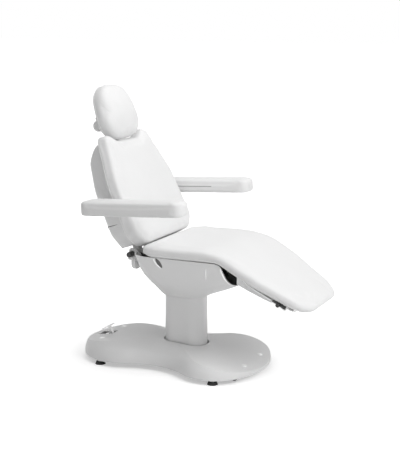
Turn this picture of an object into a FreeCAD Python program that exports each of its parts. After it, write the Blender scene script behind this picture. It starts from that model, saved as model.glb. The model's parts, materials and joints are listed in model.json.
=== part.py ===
import FreeCAD, Part
import math
import os

from FreeCAD import Vector

# Electric beauty chair. Millimetres and degrees, +X towards the feet, +Y to the sitter's left, +Z up.
# Pieces are drawn with the column axis at X = 0 and moved to the middle of the footprint at the end.

# Clearances
running_gap = 0.06
slide_gap = 0.3
body_gap = 0.4
open_pivot_gap = 1.0

# Base
base_edge_z = 22.0
base_top_z = 118.0
base_wall = 4.0
rear_lobe_x = -290.0
rear_lobe_r = 235.0
corner_x = 203.0
corner_y = 115.0
corner_r = 170.0
front_arc_r = 400.0
waist_r = 300.0
waist_flare = 60.0
base_crest_x = -130.0
base_crest_r = 1800.0
frame_z = 24.0
frame_tube_h = 30.0
frame_tube_w = 40.0
frame_wall = 3.0
rail_y = 95.0
front_foot_x = 252.0
front_foot_y = 250.0
rear_foot_x = -359.0
rear_foot_y = 203.0
foot_tube_end = 6.0
foot_r = 25.0
foot_h = 13.0
stud_r = 6.0
screw_r = 11.0
screw_h = 5.0
front_screw_x = 340.0
front_screw_y = 95.0
rear_screw_x = -400.0
rear_screw_y = 110.0
inlet_w = 48.0
inlet_h = 28.0
inlet_depth = 30.0

# Transport wheels
wheel_r = 21.0
wheel_w = 18.0
wheel_lift = 2.0
wheel_x = 322.0
wheel_y = 165.0
axle_r = 5.0
fork_t = 5.0

# Pedal
pedal_pin_x = -395.0
pedal_pin_z = 70.0
pedal_pin_r = 5.0
pedal_w = 46.0
pedal_arm_w = 16.0
pedal_plate_t = 8.0
pedal_reach = 62.0
pedal_top_z = 136.0
slot_gap = 6.0
toe_gap = 2.0

# Column
column_x = 200.0
column_y = 140.0
column_r = 60.0
column_wall = 4.0
column_plate_t = 8.0
column_top_z = 346.0
glide_t = 7.0
glide_h = 36.0
inner_foot_gap = 14.0
inner_top_z = 363.0
cover_gap = 8.0
lift_barrel_x = -40.0
lift_barrel_r = 28.0
lift_rod_r = 12.0
lift_barrel_top = 290.0
lift_motor_x = 32.0
lift_motor_r = 26.0
lift_motor_top = 150.0

# Seat
seat_top_z = 620.0
cushion_t = 58.0
board_t = 13.0
seat_tube = 30.0
seat_half_w = 290.0
seat_rear_x = -105.0
seat_rail_y = 160.0
seat_rail_rear = -205.0
cross_x = 75.0
bracket_t = 8.0
bracket_half_x = 100.0
bracket_half_y = 66.0
housing_wall = 4.0
housing_low_z = 338.0
housing_gap = 4.0
housing_lip_turn = 42.0
housing_lip_gap = 26.0
boss_drop = 42.0
boss_rear = 10.0
box_x = 120.0
box_size = (110.0, 90.0, 55.0)

# Backrest, leaning back from its hinge
back_lean = 20.0
back_recline = 62.0
back_hinge_x = -190.0
back_hinge_z = 550.0
back_pin_r = 8.0
back_pin_half = 210.0
knuckle_r = 18.0
back_tube_w = 30.0
back_tube_y = 118.0
back_tube_s = (20.0, 480.0)
back_cross_s = (45.0, 440.0)
back_board_t = 25.0
back_board_low_s = 46.0
back_cushion_t = 60.0
back_low_s = 20.0
back_low_half = 220.0
back_wide_s = 80.0
back_wide_half = 289.0
back_shoulder_s = 330.0
back_shoulder_half = 281.0
back_top_s = 566.0
back_top_half = 190.0
back_dip_s = 514.0
back_dip_half = 95.0
shell_depth = 75.0
shell_wall = 4.0
shell_head_s = 442.0
shell_foot_s = 170.0
hinge_plate_t = 8.0
cap_r = 13.0
cap_len = 36.0

# Actuators, with a slotted rod end on a crank pin
crank_r = 60.0
crank_t = 8.0
crank_pin_r = 6.0
rod_end_half = 12.0
back_barrel_r = 22.0
back_barrel_x = (-130.0, 60.0)
leg_barrel_r = 20.0
leg_barrel_x = (92.0, 215.0)
rod_r = 8.5

# Armrests
arm_s = 256.0
arm_rise = 3.4
arm_rear = 54.0
arm_front = 451.0
arm_inner_y = 309.0
arm_w = 116.0
arm_t = 65.0
arm_shaft_r = 10.0
arm_bracket_t = 10.0
arm_side_gap = 1.5
arm_pin_r = 8.0
arm_pin_len = 36.0
arm_bar_w = 40.0
arm_bar_t = 8.0
link_offset = Vector(-20.0, 0.0, -20.0)
link_y = 84.0
link_t = 10.0
link_w = 13.0
link_pin_r = 6.0

# Headrest
head_low_s = 531.0
head_low_half = 92.0
head_wide_s = 594.0
head_wide_half = 150.0
head_top_s = 788.0
head_top_half = 114.0
head_back_n = 12.0
head_t = 72.0
head_pivot_n = -24.0
head_pivot_s = 617.0
head_pivot_r = 26.0
head_pivot_half = 78.0
post_w = 40.0
post_t = 10.0
post_low_s = 400.0
guide_s = (420.0, 520.0)
guide_wall = 6.0

# Leg rest, sloping down from its hinge
leg_slope = 29.0
leg_drop = 10.0
leg_hinge_x = 269.0
leg_hinge_z = 530.0
leg_pin_r = 7.0
leg_knuckle_r = 15.0
leg_tube_y = 118.0
leg_len = 452.0
leg_tip_half = 205.0
leg_mid_t = 170.0
leg_mid_half = 281.0
leg_tube_h = 24.0
leg_tube_end = 296.0
leg_board_end = 364.0
leg_board_inset = 58.0
leg_cross_t = (50.0, 281.0)
leg_shell_wall = 4.0
leg_shell_start = 98.0
leg_shell_end = 380.0
leg_shell_low = (-34.0, -20.0, 6.0)
leg_toe_gap = 32.0
side_rail_y = 196.0
side_rail_t = 8.0
side_rail_h = 28.0
side_rail_web = 6.0
side_rail_start = 130.0
side_rail_end = 352.0
knob_t = 314.0
knob_r = 6.0
knob_head_r = 9.0
knob_head_len = 24.0
knob_bracket_len = 66.0
knob_bracket_t = 10.0
knob_bracket_h = 15.0


# Basic solids
def box(x0, x1, y0, y1, z0, z1):
    return Part.makeBox(x1 - x0, y1 - y0, z1 - z0, Vector(x0, y0, z0))


def tube_bar(x0, x1, y0, y1, z0, z1, wall, along):
    outer = box(x0, x1, y0, y1, z0, z1)
    dx, dy, dz = [0.0 if axis == along else wall for axis in "xyz"]
    return outer.cut(box(x0 + dx, x1 - dx, y0 + dy, y1 - dy, z0 + dz, z1 - dz))


def rod_x(x0, x1, y, z, r):
    return Part.makeCylinder(r, x1 - x0, Vector(x0, y, z), Vector(1, 0, 0))


def rod_y(x, z, y0, y1, r):
    return Part.makeCylinder(r, y1 - y0, Vector(x, y0, z), Vector(0, 1, 0))


def rod_z(x, y, z0, z1, r):
    return Part.makeCylinder(r, z1 - z0, Vector(x, y, z0), Vector(0, 0, 1))


def fuse(shapes):
    whole = shapes[0]
    for shape in shapes[1:]:
        whole = whole.fuse(shape)
    return whole.removeSplitter()


def group(shapes):
    return Part.makeCompound(shapes)


def mirror_y(shape):
    return shape.mirror(Vector(0, 0, 0), Vector(0, 1, 0))


def both_sides(shape):
    return [shape, mirror_y(shape)]


# Outlines: a polygon with rounded corners, drawn smaller by an inset, in a plane at a height
def flat_plane(a, b, height):
    return Vector(a, b, height)


def upright_plane(a, b, height):
    return Vector(height, a, b)


def side_plane(a, b, height):
    return Vector(a, height, b)


def inset_corners(points, inset):
    count = len(points)
    lines = []
    for i in range(count):
        (ax, ay), (bx, by) = points[i], points[(i + 1) % count]
        length = math.hypot(bx - ax, by - ay)
        nx, ny = -(by - ay) / length, (bx - ax) / length
        lines.append((nx, ny, nx * ax + ny * ay + inset))
    corners = []
    for i in range(count):
        n0x, n0y, c0 = lines[i - 1]
        n1x, n1y, c1 = lines[i]
        cross = n0x * n1y - n0y * n1x
        corners.append(((c0 * n1y - c1 * n0y) / cross, (n0x * c1 - n1x * c0) / cross))
    return corners


def outline(points, radii, inset, height, plane):
    corners = inset_corners(points, inset)
    count = len(corners)
    starts, mids, ends = [], [], []
    for i in range(count):
        px, py = corners[i]
        ax, ay = corners[i - 1]
        bx, by = corners[(i + 1) % count]
        la, lb = math.hypot(ax - px, ay - py), math.hypot(bx - px, by - py)
        ux, uy = (ax - px) / la, (ay - py) / la
        vx, vy = (bx - px) / lb, (by - py) / lb
        half = math.acos(max(-1.0, min(1.0, ux * vx + uy * vy))) / 2.0
        outward = 1.0 if ux * vy - uy * vx < 0 else -1.0
        radius = max(radii[i] - outward * inset, 0.15 * radii[i])
        reach = min(radius / math.tan(half), 0.48 * la, 0.48 * lb)
        radius = reach * math.tan(half)
        wx, wy = ux + vx, uy + vy
        lw = math.hypot(wx, wy)
        depth = radius / math.sin(half) - radius
        starts.append((px + ux * reach, py + uy * reach))
        mids.append((px + wx / lw * depth, py + wy / lw * depth))
        ends.append((px + vx * reach, py + vy * reach))
    edges = []
    for i in range(count):
        a, m, b = plane(*starts[i], height), plane(*mids[i], height), plane(*ends[i], height)
        edges.append(Part.Arc(a, m, b).toShape())
        following = starts[(i + 1) % count]
        edges.append(Part.LineSegment(b, plane(*following, height)).toShape())
    return Part.Wire(edges)


def solid_of(shape):
    if shape.Volume < 0:
        shape.reverse()
    return shape


def slab(points, radii, inset, low, high, plane):
    face = Part.Face(outline(points, radii, inset, low, plane))
    return solid_of(face.extrude(plane(0.0, 0.0, high) - plane(0.0, 0.0, low)))


def layered(points, radii, layers, plane, ruled=False):
    wires = [outline(points, radii, inset, height, plane) for inset, height in layers]
    return solid_of(Part.makeLoft(wires, True, ruled))


def cushion(points, radii, low, thickness, plane, side=1.0):
    # Sides draw in above and below the middle, and the face is crowned.
    shape = ((9.0, 0.0), (2.0, 0.16), (0.0, 0.42), (3.0, 0.68), (12.0, 0.85), (34.0, 0.95), (80.0, 1.0))
    return layered(points, radii, [(a * side, low + h * thickness) for a, h in shape], plane)


def rectangle(x0, x1, y0, y1):
    return [(x0, y0), (x1, y0), (x1, y1), (x0, y1)]


def rounded_column(half_x, half_y, r, z0, z1):
    return slab(rectangle(-half_x, half_x, -half_y, half_y), [r] * 4, 0.0, z0, z1, flat_plane)


# Backrest and leg rest are drawn upright and level at their hinges, then swung into place
def on_back(shape):
    placed = shape.copy()
    placed.rotate(Vector(0, 0, 0), Vector(0, 1, 0), -back_lean)
    placed.translate(Vector(back_hinge_x, 0, back_hinge_z))
    return placed


def back_point(n, s):
    lean = math.radians(back_lean)
    x = back_hinge_x + n * math.cos(lean) - s * math.sin(lean)
    return Vector(x, 0, back_hinge_z + n * math.sin(lean) + s * math.cos(lean))


def on_leg(shape):
    placed = shape.copy()
    placed.rotate(Vector(0, 0, 0), Vector(0, 1, 0), leg_slope)
    placed.translate(Vector(leg_hinge_x, 0, leg_hinge_z))
    return placed


def leg_point(t, m):
    slope = math.radians(leg_slope)
    x = leg_hinge_x + t * math.cos(slope) + m * math.sin(slope)
    return Vector(x, 0, leg_hinge_z - t * math.sin(slope) + m * math.cos(slope))


# Base cover: a crowned dome on a lobed outline, with a scooped waist on each side
def lobe_outline(inset, scoop, height):
    rear = Vector(rear_lobe_x, 0, height)
    corner = Vector(corner_x, corner_y, height)
    rear_r, side_r, nose_r = rear_lobe_r - inset, corner_r - inset, front_arc_r - inset
    nose_reach = front_arc_r - corner_r
    nose_x = corner_x - math.sqrt(nose_reach ** 2 - corner_y ** 2)
    nose = Vector(nose_x, 0, height)
    turn = math.asin(corner_y / nose_reach)

    # The hollow arc of the waist touches the rear lobe and the corner
    hollow_r = waist_r + inset - scoop
    span = corner - rear
    ahead = span.Length
    along = (ahead ** 2 + (hollow_r + rear_r) ** 2 - (hollow_r + side_r) ** 2) / (2 * ahead)
    aside = math.sqrt((hollow_r + rear_r) ** 2 - along ** 2)
    hub = rear + span * (along / ahead) + Vector(-span.y, span.x, 0) * (aside / ahead)
    rear_turn = math.atan2(hub.y - rear.y, hub.x - rear.x)
    side_turn = math.atan2(hub.y - corner.y, hub.x - corner.x)

    def polar(centre, radius, angle, side):
        return Vector(centre.x + radius * math.cos(angle), side * (centre.y + radius * math.sin(angle)), height)

    rear_up, rear_down = polar(rear, rear_r, rear_turn, 1), polar(rear, rear_r, rear_turn, -1)
    tail = polar(rear, rear_r, math.pi, 1)
    between = (rear_turn + side_turn) / 2.0 + math.pi
    waist_up, waist_down = polar(hub, hollow_r, between, 1), polar(hub, hollow_r, between, -1)
    side_up, side_down = polar(corner, side_r, side_turn, 1), polar(corner, side_r, side_turn, -1)
    middle = (side_turn + turn) / 2.0
    bend_up, bend_down = polar(corner, side_r, middle, 1), polar(corner, side_r, middle, -1)
    nose_up, nose_down = polar(corner, side_r, turn, 1), polar(corner, side_r, turn, -1)
    tip = polar(nose, nose_r, 0.0, 1)
    return Part.Wire([
        Part.Arc(rear_up, tail, rear_down).toShape(),
        Part.Arc(rear_down, waist_down, side_down).toShape(),
        Part.Arc(side_down, bend_down, nose_down).toShape(),
        Part.Arc(nose_down, tip, nose_up).toShape(),
        Part.Arc(nose_up, bend_up, side_up).toShape(),
        Part.Arc(side_up, waist_up, rear_up).toShape(),
    ])


def base_dome(wall):
    # Inset and height of the outline, from the upright edge over the shoulder; the crest trims the top
    height = base_top_z - base_edge_z
    layers = ((0.0, 0.0), (1.0, 0.24), (7.0, 0.46), (20.0, 0.67), (45.0, 0.84), (85.0, 0.95), (140.0, 1.05))
    wires = [lobe_outline(inset + wall, share * waist_flare, base_edge_z + share * (height - wall))
             for inset, share in layers]
    body = solid_of(Part.makeLoft(wires, True, False))
    crest = Part.makeCylinder(base_crest_r - wall, 4 * rear_lobe_r,
                              Vector(base_crest_x, -2 * rear_lobe_r, base_top_z - base_crest_r), Vector(0, 1, 0))
    return body.common(crest)


def crown_z(x, y):
    drop = Part.makeLine(Vector(x, y, base_edge_z), Vector(x, y, 2 * base_top_z))
    return base_dome(0.0).common(drop).BoundBox.ZMax


def screw_places():
    places = []
    for x, y in ((front_screw_x, front_screw_y), (rear_screw_x, rear_screw_y)):
        places += [(x, y, crown_z(x, y)), (x, -y, crown_z(x, y))]
    return places


def base_cover():
    shell = base_dome(0.0).cut(base_dome(base_wall))
    reach = base_top_z
    shell = shell.cut(rounded_column(column_x / 2 + cover_gap, column_y / 2 + cover_gap,
                                     column_r + cover_gap, base_edge_z, base_top_z + reach))
    slot_half = pedal_w / 2 + slot_gap
    shell = shell.cut(box(pedal_pin_x - pedal_reach - 2 * slot_gap, pedal_pin_x + pedal_pin_r,
                          -slot_half, slot_half, base_edge_z + slot_gap, base_top_z + reach))
    for x, y, z in screw_places():
        shell = shell.cut(rod_z(x, y, z - reach, z + reach, screw_r + slide_gap))
    rear_x = rear_lobe_x - rear_lobe_r
    inlet_z = inlet_height()
    return shell.cut(box(rear_x - base_wall, inlet_face_x() + inlet_depth, inlet_y() - inlet_w / 2,
                         inlet_y() + inlet_w / 2, inlet_z, inlet_z + inlet_h))


def inlet_y():
    return rear_lobe_r / 2


def inlet_height():
    return base_edge_z + base_wall


def inlet_face_x():
    return rear_lobe_x - math.sqrt(rear_lobe_r ** 2 - inlet_y() ** 2) + 2 * base_wall


def cover_screws():
    screws = []
    for x, y, z in screw_places():
        head = rod_z(x, y, z - base_wall - screw_h, z - base_wall / 2, screw_r)
        screws.append(head.cut(rod_z(x, y, z - base_wall, z, screw_r / 3)))
    return group(screws)


def mains_inlet():
    low, x = inlet_height(), inlet_face_x()
    y0, y1 = inlet_y() - inlet_w / 2, inlet_y() + inlet_w / 2
    body = box(x, x + inlet_depth, y0 + body_gap, y1 - body_gap, low + body_gap, low + inlet_h - body_gap)
    pocket = box(x, x + inlet_depth / 2, y0 + 6, y1 - 6, low + 6, low + inlet_h - 6)
    body = body.cut(pocket)
    pins = []
    for step in (-1, 0, 1):
        y = inlet_y() + step * inlet_w / 5
        pins.append(box(x + 3, x + inlet_depth / 2, y - 1, y + 1, low + inlet_h / 2 - 3, low + inlet_h / 2 + 3))
    return fuse([body] + pins)


# Base frame, feet and wheels
def base_rails():
    x0, x1 = rear_foot_x + frame_tube_w / 2, front_foot_x - frame_tube_w / 2
    rail = tube_bar(x0, x1, rail_y - frame_tube_w / 2, rail_y + frame_tube_w / 2,
                    frame_z, frame_z + frame_tube_h, frame_wall, "x")
    return group(both_sides(rail))


def base_cross_tubes():
    tubes = []
    for x, y in ((front_foot_x, front_foot_y), (rear_foot_x, rear_foot_y)):
        tube = tube_bar(x - frame_tube_w / 2, x + frame_tube_w / 2, -y - foot_tube_end, y + foot_tube_end,
                        frame_z, frame_z + frame_tube_h, frame_wall, "y")
        for side in (-1, 1):
            tube = tube.cut(rod_z(x, side * y, 0, frame_z + 2 * frame_tube_h, stud_r + running_gap))
        tubes.append(tube)
    return group(tubes)


def foot_places():
    return [(x, side * y) for x, y in ((front_foot_x, front_foot_y), (rear_foot_x, rear_foot_y))
            for side in (-1, 1)]


def levelling_feet():
    feet = []
    for x, y in foot_places():
        pad = Part.makeCone(foot_r, foot_r * 0.8, foot_h, Vector(x, y, 0))
        feet.append(pad.cut(rod_z(x, y, foot_h / 2, foot_h, stud_r + running_gap)))
    return group(feet)


def foot_studs():
    studs = []
    for x, y in foot_places():
        stud = rod_z(x, y, foot_h / 2, frame_z + frame_tube_h + stud_r, stud_r)
        nut = slab(rectangle(x - 10, x + 10, y - 10, y + 10), [3] * 4, 0, foot_h, frame_z, flat_plane)
        studs.append(fuse([stud, nut]))
    return group(studs)


def column_plate():
    half_x, half_y = column_x / 2 + 30, rail_y + frame_tube_w / 2
    return box(-half_x, half_x, -half_y, half_y, frame_z - column_plate_t, frame_z)


def wheel_z():
    return wheel_r + wheel_lift


def wheel_forks():
    forks = []
    x0, top = front_foot_x + frame_tube_w / 2, wheel_z() + 2 * axle_r + fork_t
    for side in (-1, 1):
        y = side * wheel_y
        cheeks = []
        for edge in (-1, 1):
            inner = edge * (wheel_w / 2 + slide_gap * 2)
            outer = inner + edge * fork_t
            y0, y1 = sorted((y + inner, y + outer))
            cheek = box(x0, wheel_x + axle_r + fork_t, y0, y1, wheel_z() - axle_r - fork_t, top)
            cheeks.append(cheek.cut(rod_y(wheel_x, wheel_z(), y0, y1, axle_r + running_gap)))
        forks += cheeks
    return group(forks)


def wheel_axle():
    half = wheel_y + wheel_w / 2 + fork_t + 4
    return rod_y(wheel_x, wheel_z(), -half, half, axle_r)


def wheel(side):
    y0, y1 = side * wheel_y - wheel_w / 2, side * wheel_y + wheel_w / 2
    tyre = rod_y(wheel_x, wheel_z(), y0, y1, wheel_r)
    tyre = tyre.makeFillet(wheel_w / 6, tyre.Edges)
    return tyre.cut(rod_y(wheel_x, wheel_z(), y0, y1, axle_r + running_gap))


# Pedal: a paddle on a cranked arm that rocks on a pin under the cover
def pedal_pin():
    half = pedal_w / 2 + fork_t
    pin = rod_y(pedal_pin_x, pedal_pin_z, -half, half, pedal_pin_r)
    cheeks = []
    for side in (-1, 1):
        y0, y1 = sorted((side * pedal_w / 2, side * half))
        cheeks.append(box(pedal_pin_x - 2 * pedal_pin_r, rear_foot_x - frame_tube_w / 2, y0, y1,
                          frame_z, pedal_pin_z + 2 * pedal_pin_r))
    return fuse([pin] + cheeks)


def pedal():
    half = pedal_arm_w / 2
    hub = rod_y(pedal_pin_x, pedal_pin_z, -pedal_w / 2 + slide_gap, pedal_w / 2 - slide_gap, 2 * pedal_pin_r)
    top_x = pedal_pin_x - pedal_reach / 2
    arm_points = [(pedal_pin_x - 2 * pedal_pin_r, pedal_pin_z), (pedal_pin_x + pedal_pin_r, pedal_pin_z),
                  (top_x + half, pedal_top_z - pedal_plate_t), (top_x - half, pedal_top_z - pedal_plate_t)]
    arm = slab(arm_points, [2] * 4, 0, -half, half, side_plane)
    paddle = [(pedal_pin_x - pedal_reach, pedal_top_z - 3 * pedal_plate_t),
              (pedal_pin_x - pedal_reach + pedal_plate_t, pedal_top_z - 3.4 * pedal_plate_t),
              (pedal_pin_x - pedal_plate_t, pedal_top_z),
              (pedal_pin_x - 2 * pedal_plate_t, pedal_top_z + pedal_plate_t / 2)]
    plate = slab(paddle, [2] * 4, 0, -pedal_w / 2, pedal_w / 2, side_plane)
    toe = box(pedal_pin_x - 2 * pedal_pin_r, pedal_pin_x - pedal_pin_r, -half, half,
              switch_top() + toe_gap, pedal_pin_z)
    return fuse([hub, arm, plate, toe]).cut(rod_y(pedal_pin_x, pedal_pin_z, -pedal_w, pedal_w,
                                                  pedal_pin_r + running_gap))


def switch_top():
    return frame_z + frame_tube_h - 4


def pedal_switch():
    half = pedal_arm_w / 2
    x0 = pedal_pin_x - 3.5 * pedal_pin_r
    return box(x0, rear_foot_x - frame_tube_w / 2, -half, half, frame_z, switch_top())


# Lifting column
def inner_half():
    step = column_wall + glide_t
    return column_x / 2 - step, column_y / 2 - step, column_r - step


def column_outer():
    wall = column_wall
    tube = rounded_column(column_x / 2, column_y / 2, column_r, frame_z, column_top_z)
    return tube.cut(rounded_column(column_x / 2 - wall, column_y / 2 - wall, column_r - wall,
                                   frame_z, column_top_z))


def column_inner():
    half_x, half_y, r = inner_half()
    low = frame_z + inner_foot_gap
    wall = column_wall
    tube = rounded_column(half_x, half_y, r, low, inner_top_z)
    return tube.cut(rounded_column(half_x - wall, half_y - wall, r - wall, low, inner_top_z))


def glides(low, inner_gap, outer_gap):
    # Four pads on the flats between the two columns
    half_x, half_y, r = inner_half()
    wide_x, wide_y = half_x - r - 1.0, half_y - r - 1.0
    near, far = inner_gap, glide_t - outer_gap
    pads = []
    for side in (-1, 1):
        x0, x1 = sorted((side * (half_x + near), side * (half_x + far)))
        y0, y1 = sorted((side * (half_y + near), side * (half_y + far)))
        pads.append(box(x0, x1, -wide_y, wide_y, low, low + glide_h))
        pads.append(box(-wide_x, wide_x, y0, y1, low, low + glide_h))
    return group(pads)


def lift_actuator():
    barrel = rod_z(lift_barrel_x, 0, frame_z, lift_barrel_top, lift_barrel_r)
    motor = rod_z(lift_motor_x, 0, frame_z, lift_motor_top, lift_motor_r)
    gearbox = box(lift_barrel_x, lift_motor_x, -lift_motor_r, lift_motor_r, frame_z, frame_z + 2 * lift_motor_r)
    bore = rod_z(lift_barrel_x, 0, frame_z + inner_foot_gap, lift_barrel_top, lift_rod_r + running_gap)
    return fuse([barrel, gearbox, motor]).cut(bore)


def lift_rod():
    return rod_z(lift_barrel_x, 0, frame_z + inner_foot_gap + body_gap, inner_top_z, lift_rod_r)


# Seat
def seat_board_z():
    return seat_top_z - cushion_t - board_t


def seat_frame_z():
    return seat_board_z() - seat_tube


def seat_bracket():
    plate = box(-bracket_half_x, bracket_half_x, -bracket_half_y, bracket_half_y,
                inner_top_z, inner_top_z + bracket_t)
    upright = box(-cross_x - seat_tube / 2, cross_x + seat_tube / 2, bracket_half_y - bracket_t,
                  bracket_half_y, inner_top_z + bracket_t, seat_frame_z())
    return fuse([plate] + both_sides(upright))


def seat_frame():
    low, high = seat_frame_z(), seat_board_z()
    half = seat_tube / 2
    rail = tube_bar(seat_rail_rear, leg_hinge_x + half, seat_rail_y - half, seat_rail_y + half,
                    low, high, frame_wall, "x")
    for x, z, r in ((leg_hinge_x, leg_hinge_z, leg_pin_r),):
        rail = rail.cut(rod_y(x, z, seat_rail_y - half, seat_rail_y + half, r + running_gap))
    rail = rail.cut(rod_y(back_hinge_x, back_hinge_z, seat_rail_y - half, seat_rail_y + half,
                          back_pin_r + running_gap))
    tubes = both_sides(rail)
    for x in (-cross_x, cross_x):
        tubes.append(tube_bar(x - half, x + half, half - seat_rail_y, seat_rail_y - half,
                              low, high, frame_wall, "y"))
    return group(tubes)


def seat_board():
    edge = 34.0
    points = rectangle(seat_rear_x + edge, leg_hinge_x - edge, edge - seat_half_w, seat_half_w - edge)
    return slab(points, [40, 4, 4, 40], 0, seat_board_z(), seat_board_z() + board_t, flat_plane)


def seat_outline(front_x):
    return rectangle(seat_rear_x, front_x, -seat_half_w, seat_half_w), [75, 2, 2, 75]


def seat_cushion():
    points, radii = seat_outline(leg_hinge_x + 2 * seat_half_w)
    pad = cushion(points, radii, seat_top_z - cushion_t, cushion_t, flat_plane)
    return pad.common(box(seat_rear_x, leg_hinge_x - body_gap, -seat_half_w, seat_half_w, 0, 2 * seat_top_z))


def knee_cushion():
    # The bend of the pad: the seat's cut face carried round the leg hinge
    pad = seat_cushion()
    front = max(pad.Faces, key=lambda face: face.BoundBox.XMin)
    bend = front.revolve(Vector(leg_hinge_x, 0, leg_hinge_z), Vector(0, 1, 0), leg_slope - knee_clear())
    return solid_of(bend)


def knee_clear():
    return math.degrees(3 * body_gap / (seat_top_z - leg_hinge_z))


def housing_layers():
    # Height, rear X, front X, half width and corner radius of the bowl, from the column up to the cushion
    top = seat_board_z() + board_t - body_gap
    gap = housing_gap + housing_wall
    deep = leg_hinge_x
    return (
        (housing_low_z, -column_x / 2 - gap, column_x / 2 + gap, column_y / 2 + gap, column_r + gap),
        (housing_low_z + 16, -column_x / 2 - 18, 0.52 * deep, 104, 86),
        (housing_low_z + 60, -column_x / 2 - 30, 0.90 * deep, 168, 112),
        (housing_low_z + 122, -column_x / 2 - 58, 1.34 * deep, 222, 116),
        (housing_low_z + 182, -column_x / 2 - 68, 1.55 * deep, 252, 106),
        (top, -column_x / 2 - 70, 1.6 * deep, seat_half_w - 22, 96),
    )


def bowl(inset):
    wires = []
    for z, rear, front, half, r in housing_layers():
        points = rectangle(rear, front, -half, half)
        wires.append(outline(points, [r] * 4, inset, z, flat_plane))
    return solid_of(Part.makeLoft(wires, True, False))


def housing_front():
    # Everything in front of the bowl's edge, which runs forward as it goes down
    reach = 2 * leg_len
    block = box(0, reach, -reach, reach, -reach, reach)
    block.rotate(Vector(0, 0, 0), Vector(0, 1, 0), -housing_lip_turn)
    block.translate(Vector(leg_shell_start - housing_lip_gap, 0, leg_shell_low[0]))
    return on_leg(block)


def knee_space():
    # Room under the bend and under the leg cushion when the leg rest hangs lowest
    reach = 2 * leg_len
    under = leg_board_m() + board_t - 2.0
    block = box(-board_t, reach, -reach, reach, under, reach)
    block.rotate(Vector(0, 0, 0), Vector(0, 1, 0), leg_drop)
    ring = rod_y(0, 0, -reach, reach, under + cushion_t).cut(rod_y(0, 0, -reach, reach, under))
    ring = ring.common(box(0, reach, -reach, reach, 0, reach))
    ring.translate(Vector(leg_hinge_x, 0, leg_hinge_z))
    return on_leg(block).fuse(ring)


def seat_housing():
    shell = bowl(0.0).cut(bowl(housing_wall))
    shell = shell.cut(housing_front()).cut(knee_space())
    rails = []
    half = seat_tube / 2 + slide_gap
    for side in (-1, 1):
        y = side * seat_rail_y
        y0, y1 = sorted((y - side * half, y + side * (half + hinge_plate_t)))
        rails.append(box(2 * seat_rail_rear, 0, y0, y1, seat_frame_z() - slide_gap, seat_top_z))
    for side in (-1, 1):
        y0, y1 = sorted((side * (back_tube_y - seat_tube), side * seat_rail_y))
        rails.append(box(2 * seat_rail_rear, back_hinge_x + 2 * knuckle_r, y0, y1, seat_frame_z(), seat_top_z))
    crank_half = rod_end_half + crank_t + 2 * slot_gap
    port_low = rod_axis_z(back_crank()) - 2.5 * rod_r
    port = box(2 * seat_rail_rear, 0, -crank_half, crank_half, port_low, seat_top_z)
    mouth = rounded_column(column_x / 2 + housing_gap, column_y / 2 + housing_gap,
                           column_r + housing_gap, 0, housing_low_z + 2 * housing_gap)
    for cutter in rails + [port, mouth]:
        shell = shell.cut(cutter)
    return max(shell.Solids, key=lambda solid: solid.Volume)


def hinge_bosses():
    # Covers under and outside the rail ends behind the bowl
    half = seat_tube / 2
    front_x = -column_x / 2 - 70 - slide_gap
    outer = rectangle(seat_rail_y - half - 10, seat_rail_y + half + 18,
                      seat_frame_z() - boss_drop, seat_board_z())
    rear_x = seat_rail_rear + boss_rear
    layers = [(12, rear_x), (3.5, rear_x + 4), (0, rear_x + 12), (0, front_x)]
    block = layered(outer, [22] * 4, layers, upright_plane)
    hollow = box(2 * seat_rail_rear, 0, 0, seat_rail_y + half + hinge_plate_t + body_gap,
                 seat_frame_z() - body_gap, 2 * seat_top_z)
    cap = rod_y(back_hinge_x, back_hinge_z, 0, back_pin_half, cap_r + body_gap)
    return group(both_sides(block.cut(hollow).cut(cap)))


def control_box():
    length, width, height = box_size
    z = seat_frame_z() - height
    y = bracket_half_y + 8
    body = box(box_x, box_x + length, y, y + width, z, z + height)
    return body.makeFillet(4.0, body.Edges)


def hinge_plates():
    half = seat_tube / 2
    y0 = seat_rail_y + half
    points = [(seat_rail_rear - 8, seat_frame_z()), (seat_rail_rear + 70, seat_frame_z()),
              (seat_rail_rear + 60, seat_board_z()), (back_hinge_x + 14, back_hinge_z + 26),
              (back_hinge_x - 14, back_hinge_z + 26)]
    plate = slab(points, [5, 5, 8, 12, 12], 0, y0, y0 + hinge_plate_t, side_plane)
    plate = plate.cut(rod_y(back_hinge_x, back_hinge_z, y0, y0 + hinge_plate_t, back_pin_r + running_gap))
    foot = link_foot()
    inner = seat_rail_y - half
    anchor = box(foot.x - 11, seat_rail_rear + 30, inner - hinge_plate_t, inner, seat_frame_z() + 1, foot.z + 10)
    stub = rod_y(foot.x, foot.z, link_y - 2, inner - hinge_plate_t, link_pin_r)
    return group(both_sides(plate) + [fuse([anchor, stub])])


def back_hinge_pin():
    # One stub on each side, clear of the crank between them
    inner = back_tube_y - back_tube_w / 2 - 4
    return group(both_sides(rod_y(back_hinge_x, back_hinge_z, inner, back_pin_half, back_pin_r)))


def hinge_caps():
    y0 = seat_rail_y + seat_tube / 2 + hinge_plate_t
    cap = rod_y(back_hinge_x, back_hinge_z, y0, y0 + cap_len, cap_r)
    cap = cap.makeFillet(4.0, [edge for edge in cap.Edges if edge.BoundBox.YMin > y0 + 1])
    return group(both_sides(cap.cut(rod_y(back_hinge_x, back_hinge_z, y0, back_pin_half + body_gap,
                                          back_pin_r + running_gap))))


# Actuators: the crank points straight down at mid travel, so the rod runs level
class Crank:
    def __init__(self, x, z, before, after):
        self.x, self.z, self.before, self.after = x, z, before, after

    def pin(self, turn):
        angle = math.radians(turn + (self.before - self.after) / 2.0)
        return Vector(self.x + crank_r * math.sin(angle), 0, self.z - crank_r * math.cos(angle))

    def stroke(self):
        return self.pin(self.after).x - self.pin(-self.before).x

    def ratio(self):
        return self.stroke() / math.radians(self.before + self.after)


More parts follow.
